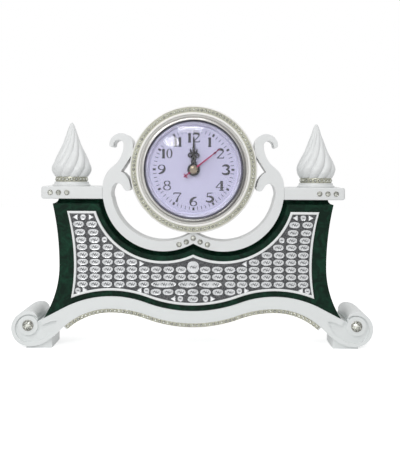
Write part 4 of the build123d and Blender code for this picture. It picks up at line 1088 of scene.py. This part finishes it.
class CLOCK_OT_insert(bpy.types.Operator):
    """Turn the chrome bezel, its sight, the glass and the dial disc"""
    bl_idname = "clock.insert"
    bl_label = "Insert"

    def execute(self, context):
        ledge_r, rim_r = GLASS_R - GLASS_SEAT, GLASS_R + GLASS_GAP
        crest_r = (BEZEL_R + GLASS_R) / 2 + CREST_OUT
        crest_wide = (BEZEL_R - GLASS_R) / 2 - CREST_NARROW
        crest = arc(crest_r, CREST_RISE - SEAT_Y, crest_wide, 0, 180, 14)
        skirt_back = SEAT_Y + SKIRT_DEPTH
        outline = [(BEZEL_R, SEAT_Y), (BEZEL_R, SEAT_Y - WALL_RISE), *[(x, -z) for x, z in crest],
                   (rim_r, SEAT_Y - GROOVE_RISE), (rim_r, GLASS_BACK), (ledge_r, GLASS_BACK),
                   (SIGHT_R, SEAT_Y), (SIGHT_EDGE, DIAL_FRONT), (SIGHT_R, DIAL_FRONT),
                   (SIGHT_R, skirt_back), (SKIRT_R, skirt_back), (SKIRT_R, SEAT_Y)]
        bm = bmesh.new()
        spun(bm, outline, CENTRE, BACKWARDS, ROUND_SIDES)
        slope, groove, wall = 1, 2, 3
        for face in bm.faces:
            reach, depth = reach_of(face)
            # The sight's slope gets a darker copy of the dial's lilac as painted shade, its steep wall a
            # lighter copy as painted light
            if depth > GLASS_BACK - 0.05 and reach < rim_r - 0.02:
                face.material_index = slope if reach > SIGHT_R + 0.05 or depth > DIAL_FRONT else wall
            # Painted shadow: the groove between the glass and the crest gets a near-black
            elif rim_r - 0.02 < reach < crest_r - crest_wide + 0.02:
                face.material_index = groove
        looks = [chrome_look(), plain("sight_slope_painted_shade"), plain("rim_groove_painted_shadow"), plain("sight_wall_painted_light")]
        piece("bezel_turned", bm, "insert", looks, ["bezel"], smooth=40)

        outline = dome(GLASS_R, GLASS_BACK - GLASS_THICK) + [(GLASS_R, GLASS_BACK)]
        outline += dome(ledge_r, GLASS_BACK)[::-1]
        bm = bmesh.new()
        spun(bm, outline, CENTRE, BACKWARDS, 128, closed=False)
        piece("lens_dome", bm, "insert", [glass_look()], ["lens"], smooth=30)

        bm = bmesh.new()
        washer(bm, 0, RING_Z, DIAL_R, DIAL_BORE, DIAL_FRONT, DIAL_FRONT + DIAL_THICK, 160)
        piece("dial_disc", bm, "insert", [dial_look()], ["dial"], smooth=30)
        return {"FINISHED"}


# Numerals on a grid one unit high. A stroke is a list of points and the widths at them.
THIN, THICK = 0.10, 0.265
FIGURE_GAP = 0.10


def bar(x0, z0, x1, z1, width, end=None):
    """Straight stroke, with another width at its end where one is given."""
    return [(x0, z0), (x1, z1)], [width, end or width]


def bowl(x, z, wide, high, start, end, tail=(), steps=14):
    """Stroke along part of an oval that swells in its middle, and on along a thin tail."""
    points = [(x + wide * cos(radians(start + (end - start) * n / steps)),
               z + high * sin(radians(start + (end - start) * n / steps))) for n in range(steps + 1)]
    return points + list(tail), swell(len(points), THIN, THICK) + [THIN] * len(tail)


def loop(x, z, wide, high, start, steps, thin, more):
    """Stroke all along an oval, more wide at its sides."""
    points = bowl(x, z, wide, high, start, start + 360, steps=steps)[0]
    return points, [thin + more * abs(cos(radians(start + 360 * n / steps))) for n in range(steps + 1)]


# Strokes of each figure, its width and how much it is widened
FIGURES = {
    "0": ([loop(0.25, 0.5, 0.18, 0.47, 0, 28, 0.05, 0.10)], 0.5, 1.35),
    "1": ([bar(0.16, 0.0, 0.16, 0.98, THICK), bar(0.0, 0.80, 0.16, 0.96, THIN, 0.08),
           bar(0.0, 0.025, 0.32, 0.025, THIN)], 0.32, 1.1),
    "2": ([bowl(0.25, 0.74, 0.2, 0.22, 170, -20, ((0.30, 0.42), (0.06, 0.06))),
           bar(0.03, 0.05, 0.47, 0.05, 0.1), bar(0.46, 0.03, 0.50, 0.20, THIN)], 0.5, 1.55),
    "3": ([bowl(0.22, 0.75, 0.19, 0.21, 160, -80), bowl(0.22, 0.28, 0.22, 0.25, 80, -160)], 0.46, 1.75),
    "4": ([bar(0.36, 0.0, 0.36, 1.0, THICK), bar(0.36, 0.98, 0.02, 0.32, THIN),
           bar(0.0, 0.30, 0.52, 0.30, 0.07), bar(0.22, 0.025, 0.50, 0.025, THIN)], 0.52, 1.75),
    "5": ([bowl(0.21, 0.31, 0.23, 0.28, 125, -150), bar(0.09, 0.53, 0.12, 0.96, THIN),
           bar(0.11, 0.93, 0.42, 0.95, 0.11, 0.09)], 0.46, 1.75),
    "6": ([loop(0.24, 0.29, 0.18, 0.25, 90, 22, 0.06, 0.09), bowl(0.50, 0.36, 0.44, 0.60, 100, 200)],
          0.48, 1.75),
    "7": ([bar(0.02, 0.93, 0.46, 0.93, 0.11), ([(0.45, 0.93), (0.28, 0.5), (0.18, 0.0)], [THIN, 0.1, THICK]),
           bar(0.03, 0.97, 0.01, 0.78, THIN)], 0.48, 1.75),
    "8": ([loop(0.24, 0.75, 0.16, 0.21, 0, 20, 0.06, 0.08), loop(0.24, 0.27, 0.20, 0.25, 0, 20, 0.06, 0.08)],
          0.48, 1.75),
    "9": ([loop(0.24, 0.71, 0.18, 0.25, -90, 22, 0.06, 0.09), bowl(-0.02, 0.64, 0.44, 0.60, -80, 20)],
          0.48, 1.75),
}


class CLOCK_OT_dial(bpy.types.Operator):
    """Print the minute marks and the serif numerals on the dial"""
    bl_idname = "clock.dial"
    bl_label = "Dial Printing"

    def execute(self, context):
        front, back = DIAL_FRONT - INK_THICK, DIAL_FRONT + INK_THICK
        bm = bmesh.new()
        for number in range(60):
            turn = radians(6 * number)
            low, high, wide = MINUTE_MARK if number % 5 else HOUR_MARK
            ends = [(reach * sin(turn), RING_Z + reach * cos(turn)) for reach in (low, high)]
            stroke(bm, ends, [wide, wide], front, back)
        piece("minute_marks", bm, "insert", [plain("dial_ink")], smooth=30, merge=KEEP_APART)

        high = sizes().numeral_height / MM
        bm = bmesh.new()
        for hour in range(1, 13):
            turn = radians(30 * hour)
            figures = [FIGURES[figure] for figure in str(hour)]
            wide = sum(reach * more for _, reach, more in figures) + FIGURE_GAP * (len(figures) - 1)
            lean = LEANING_NUMERAL if hour % 6 in (2, 4) else 1.0
            left = NUMERAL_R * sin(turn) * lean - wide * high / 2
            foot = RING_Z + NUMERAL_R * cos(turn) - high / 2
            for strokes, reach, more in figures:
                for points, widths in strokes:
                    stroke(bm, [(left + x * more * high, foot + z * high) for x, z in points],
                           [width * high for width in widths], front, back)
                left += (reach * more + FIGURE_GAP) * high
        piece("numerals", bm, "insert", [plain("dial_ink")], smooth=30, merge=KEEP_APART)
        return {"FINISHED"}


def ornate_hand(name, body, solid, tip, bore):
    """Black hand with a round hub, two small rings and two curled horns on its neck."""
    front = span(solid)[0].y
    back = front + HAND_THICK
    bm = bmesh.new()
    washer(bm, 0, RING_Z, HAND_HUB_R, bore, front, back, 48)
    neck = [(0, RING_Z + reach) for reach in (*NECK_REACH, tip - NECK_TIP, tip)]
    stroke(bm, neck, NECK_WIDTHS, front, back)
    for side in (-1, 1):
        washer(bm, side * SIDE_RING_X, RING_Z + SIDE_RING_Z, SIDE_RING_R, SIDE_RING_HOLE, front, back, 24)
        turns = [radians(step * 15) for step in range(9)]
        horn = [(side * (HORN_X + HORN_SPREAD * sin(turn)), RING_Z + HORN_Z + HORN_RISE * (1 - cos(turn)))
                for turn in turns]
        stroke(bm, horn, swell(9, 0.4, 0.95), front, back)
    soften(piece(name, bm, body, [plain("black_paint")], [solid], smooth=30,
                 merge=KEEP_APART), HAND_EDGE, 2)


class CLOCK_OT_hands(bpy.types.Operator):
    """Cut the ornate hour and minute hands, the second hand and its cap"""
    bl_idname = "clock.hands"
    bl_label = "Hands"

    def execute(self, context):
        ornate_hand("hour_ornate", "hour", "hour_hand", 14.5, 2.0)
        ornate_hand("minute_ornate", "minute", "minute_hand", 23.2, 1.2)

        turn = radians(SECOND_TURN)
        along = Vector((sin(turn), cos(turn)))

        def laid(places):
            return [(along.x * reach + along.y * side, RING_Z + along.y * reach - along.x * side)
                    for reach, side in places]

        front = span("second_hand")[0].y
        back = front + HAND_THICK
        bm = bmesh.new()
        washer(bm, 0, RING_Z, SECOND_HUB_R, SECOND_BORE, front, back)
        for places, widths in SECOND_BARS:
            stroke(bm, laid(places), widths, front, back)
        slab(bm, laid(LOZENGE), front, back)
        look = finish("crimson_paint", colours().second, 0.3, fine=900.0)
        soften(piece("second_slim", bm, "second", [look], ["second_hand"], smooth=30,
                     merge=KEEP_APART), SECOND_EDGE, 2)

        low, high = span("centre_cap")
        brim = high.y - CAP_BRIM
        turns = [radians(9 * step) for step in range(11)]
        domed = [(high.x * sin(turn), brim - (brim - low.y) * cos(turn)) for turn in turns]
        bm = bmesh.new()
        spun(bm, domed + [(high.x, high.y), (0, high.y)], CENTRE, BACKWARDS, 64, closed=False)
        piece("cap_domed", bm, "second", [plain("cap_brass")], ["centre_cap"], smooth=40)
        return {"FINISHED"}


INNER_LOOKS = {
    "soft_band": ("gasket_band",), "movement_plastic": ("movement_plate", "movement_cover"),
    "board": ("circuit_board",), "copper_wire": ("coil_winding",), "magnet_black": ("rotor",),
    "steel": ("quartz_crystal", "coil_core", "stator", "button_cell"),
    "contact_brass": ("cell_spring", "cell_side_contact", "cannon_pinion"),
    "wheel_plastic": ("hour_wheel", "motion_wheel", "seconds_wheel", "third_wheel", "centre_wheel",
                      "step_wheel"),
}


class CLOCK_OT_movement(bpy.types.Operator):
    """Finish the rear cup, hatch, knob and the movement's inner pieces"""
    bl_idname = "clock.movement"
    bl_label = "Movement"

    def execute(self, context):
        for solid, width, body in (("back_shell", 0.4, "insert"), ("battery_hatch", 0.2, "hatch"),
                                   ("set_knob", 0.2, "knob")):
            dressed(solid, plain("black_plastic"), width, body)
        for look, solids in INNER_LOOKS.items():
            for solid in solids:
                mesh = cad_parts[solid].data
                mesh.materials.clear()
                mesh.materials.append(plain(look))
        return {"FINISHED"}


# Lamps: shape, place in metres, width and height in metres and power in watts
LAMPS = {
    "lamp_left": ("RECTANGLE", (-0.55, -0.75, 0.75), 0.5, 0.5, 2.1),
    "lamp_top": ("RECTANGLE", (0.1, -0.25, 1.0), 0.6, 0.6, 2.0),
    "window_left": ("ELLIPSE", (-0.235, -0.94, 0.400), 0.15, 0.10, 0.9),
    "window_top": ("RECTANGLE", (-0.050, -0.94, 0.535), 0.26, 0.04, 1.3),
}
LAMPS_AIM = Vector((0, 0, 0.085))
FLOOR_REACH = 2.5
WHITE, SOFT_LIGHT, FLOOR_GLOW = (1.0, 1.0, 1.0, 1.0), 0.46, 0.62
# Camera: its place in metres, its turns from level and straight on, its lens and its shift
CAMERA_PLACE = (0.01205, FACE_Y * MM - 0.6936, 0.12506)
CAMERA_PAN, CAMERA_TILT, CAMERA_ROLL = -0.941, -0.47, -0.352
CAMERA_LENS, CAMERA_SHIFT_X, CAMERA_SHIFT_Y = 78.2, -0.0594, -0.1097


def seen_rays(tree):
    """Mask of the rays that look at the backdrop: from the camera, off gloss and through glass."""
    paths = node(tree, "ShaderNodeLightPath")
    mask = paths.outputs["Is Camera Ray"]
    for label in ("Is Glossy Ray", "Is Transmission Ray"):
        either = node(tree, "ShaderNodeMath", operation="MAXIMUM")
        tree.links.new(mask, either.inputs[0])
        tree.links.new(paths.outputs[label], either.inputs[1])
        mask = either.outputs["Value"]
    return mask


def placed(scene, name, data):
    """New object of the stage."""
    made = bpy.data.objects.new(name, data)
    scene.collection.objects.link(made)
    return made


class CLOCK_OT_stage(bpy.types.Operator):
    """Lay the floor, hang the lamps and set the camera at the photograph's angle"""
    bl_idname = "clock.stage"
    bl_label = "Stage"

    def execute(self, context):
        scene = context.scene
        bm = bmesh.new()
        bmesh.ops.create_grid(bm, x_segments=8, y_segments=8, size=FLOOR_REACH)
        mesh = bpy.data.meshes.new("floor")
        bm.to_mesh(mesh)
        bm.free()
        placed(scene, "floor", mesh)
        look = bpy.data.materials.new("floor_paper")
        look.use_nodes = True
        tree = look.node_tree
        shader = tree.nodes["Principled BSDF"]
        shader.inputs["Base Color"].default_value = (*colours().floor, 1.0)
        shader.inputs["Roughness"].default_value = 0.9
        shader.inputs["Specular IOR Level"].default_value = 0.1
        glow = node(tree, "ShaderNodeEmission", {"Strength": FLOOR_GLOW})
        both = node(tree, "ShaderNodeAddShader")
        tree.links.new(shader.outputs["BSDF"], both.inputs[0])
        tree.links.new(glow.outputs["Emission"], both.inputs[1])
        surfaced(tree, "Material Output", seen_rays(tree), shader.outputs["BSDF"], both.outputs["Shader"])
        mesh.materials.append(look)

        world = bpy.data.worlds.new("studio")
        scene.world = world
        world.use_nodes = True
        tree = world.node_tree
        soft = tree.nodes["Background"]
        soft.inputs["Color"].default_value = WHITE
        soft.inputs["Strength"].default_value = SOFT_LIGHT
        white = node(tree, "ShaderNodeBackground", {"Color": WHITE, "Strength": 1.0})
        surfaced(tree, "World Output", seen_rays(tree), soft.outputs["Background"],
                 white.outputs["Background"])

        for name, (shape, place, wide, high, power) in LAMPS.items():
            lamp = bpy.data.lights.new(name, "AREA")
            lamp.shape = shape
            lamp.size, lamp.size_y = wide, high
            lamp.energy = power
            made = placed(scene, name, lamp)
            made.location = place
            made.rotation_euler = (LAMPS_AIM - Vector(place)).to_track_quat("-Z", "Y").to_euler()

        camera = bpy.data.cameras.new("camera")
        camera.sensor_fit = "VERTICAL"
        camera.sensor_height = 36.0
        camera.lens = CAMERA_LENS
        camera.shift_x, camera.shift_y = CAMERA_SHIFT_X, CAMERA_SHIFT_Y
        camera.clip_start = 0.01
        made = placed(scene, "camera", camera)
        made.location = CAMERA_PLACE
        aim = (Matrix.Rotation(radians(CAMERA_PAN), 3, "Z") @ Matrix.Rotation(radians(CAMERA_TILT), 3, "X")
               @ Matrix.Rotation(radians(CAMERA_ROLL), 3, "Y") @ Matrix.Rotation(pi / 2, 3, "X"))
        made.rotation_euler = aim.to_euler()
        scene.camera = made
        scene.view_settings.view_transform = "Standard"
        return {"FINISHED"}


OPERATORS = (
    CLOCK_OT_ring, CLOCK_OT_chains, CLOCK_OT_stones, CLOCK_OT_case, CLOCK_OT_finials, CLOCK_OT_plaque,
    CLOCK_OT_insert, CLOCK_OT_dial, CLOCK_OT_hands, CLOCK_OT_movement, CLOCK_OT_stage,
)


class CLOCK_PT_panel(bpy.types.Panel):
    """Sidebar panel with the clock's values and pieces"""
    bl_label = "Mantel Clock"
    bl_idname = "CLOCK_PT_panel"
    bl_space_type = "VIEW_3D"
    bl_region_type = "UI"
    bl_category = "Mantel Clock"

    def draw(self, context):
        for group in (context.scene.clock_sizes, context.scene.clock_colours):
            box = self.layout.box()
            for name in group.__annotations__:
                box.prop(group, name)
        for operator in OPERATORS:
            self.layout.operator(operator.bl_idname)


CLASSES = (ClockSizes, ClockColours, *OPERATORS, CLOCK_PT_panel)


def register():
    """Add the clock's classes and values to Blender."""
    for kind in CLASSES:
        bpy.utils.register_class(kind)
    bpy.types.Scene.clock_sizes = PointerProperty(type=ClockSizes)
    bpy.types.Scene.clock_colours = PointerProperty(type=ClockColours)


def unregister():
    """Take the clock's classes and values out of Blender."""
    del bpy.types.Scene.clock_colours
    del bpy.types.Scene.clock_sizes
    for kind in reversed(CLASSES):
        bpy.utils.unregister_class(kind)


def main():
    """Build the whole clock, piece after piece."""
    register()
    for operator in OPERATORS:
        group, name = operator.bl_idname.split(".")
        getattr(getattr(bpy.ops, group), name)()


if __name__ == "__main__":
    main()
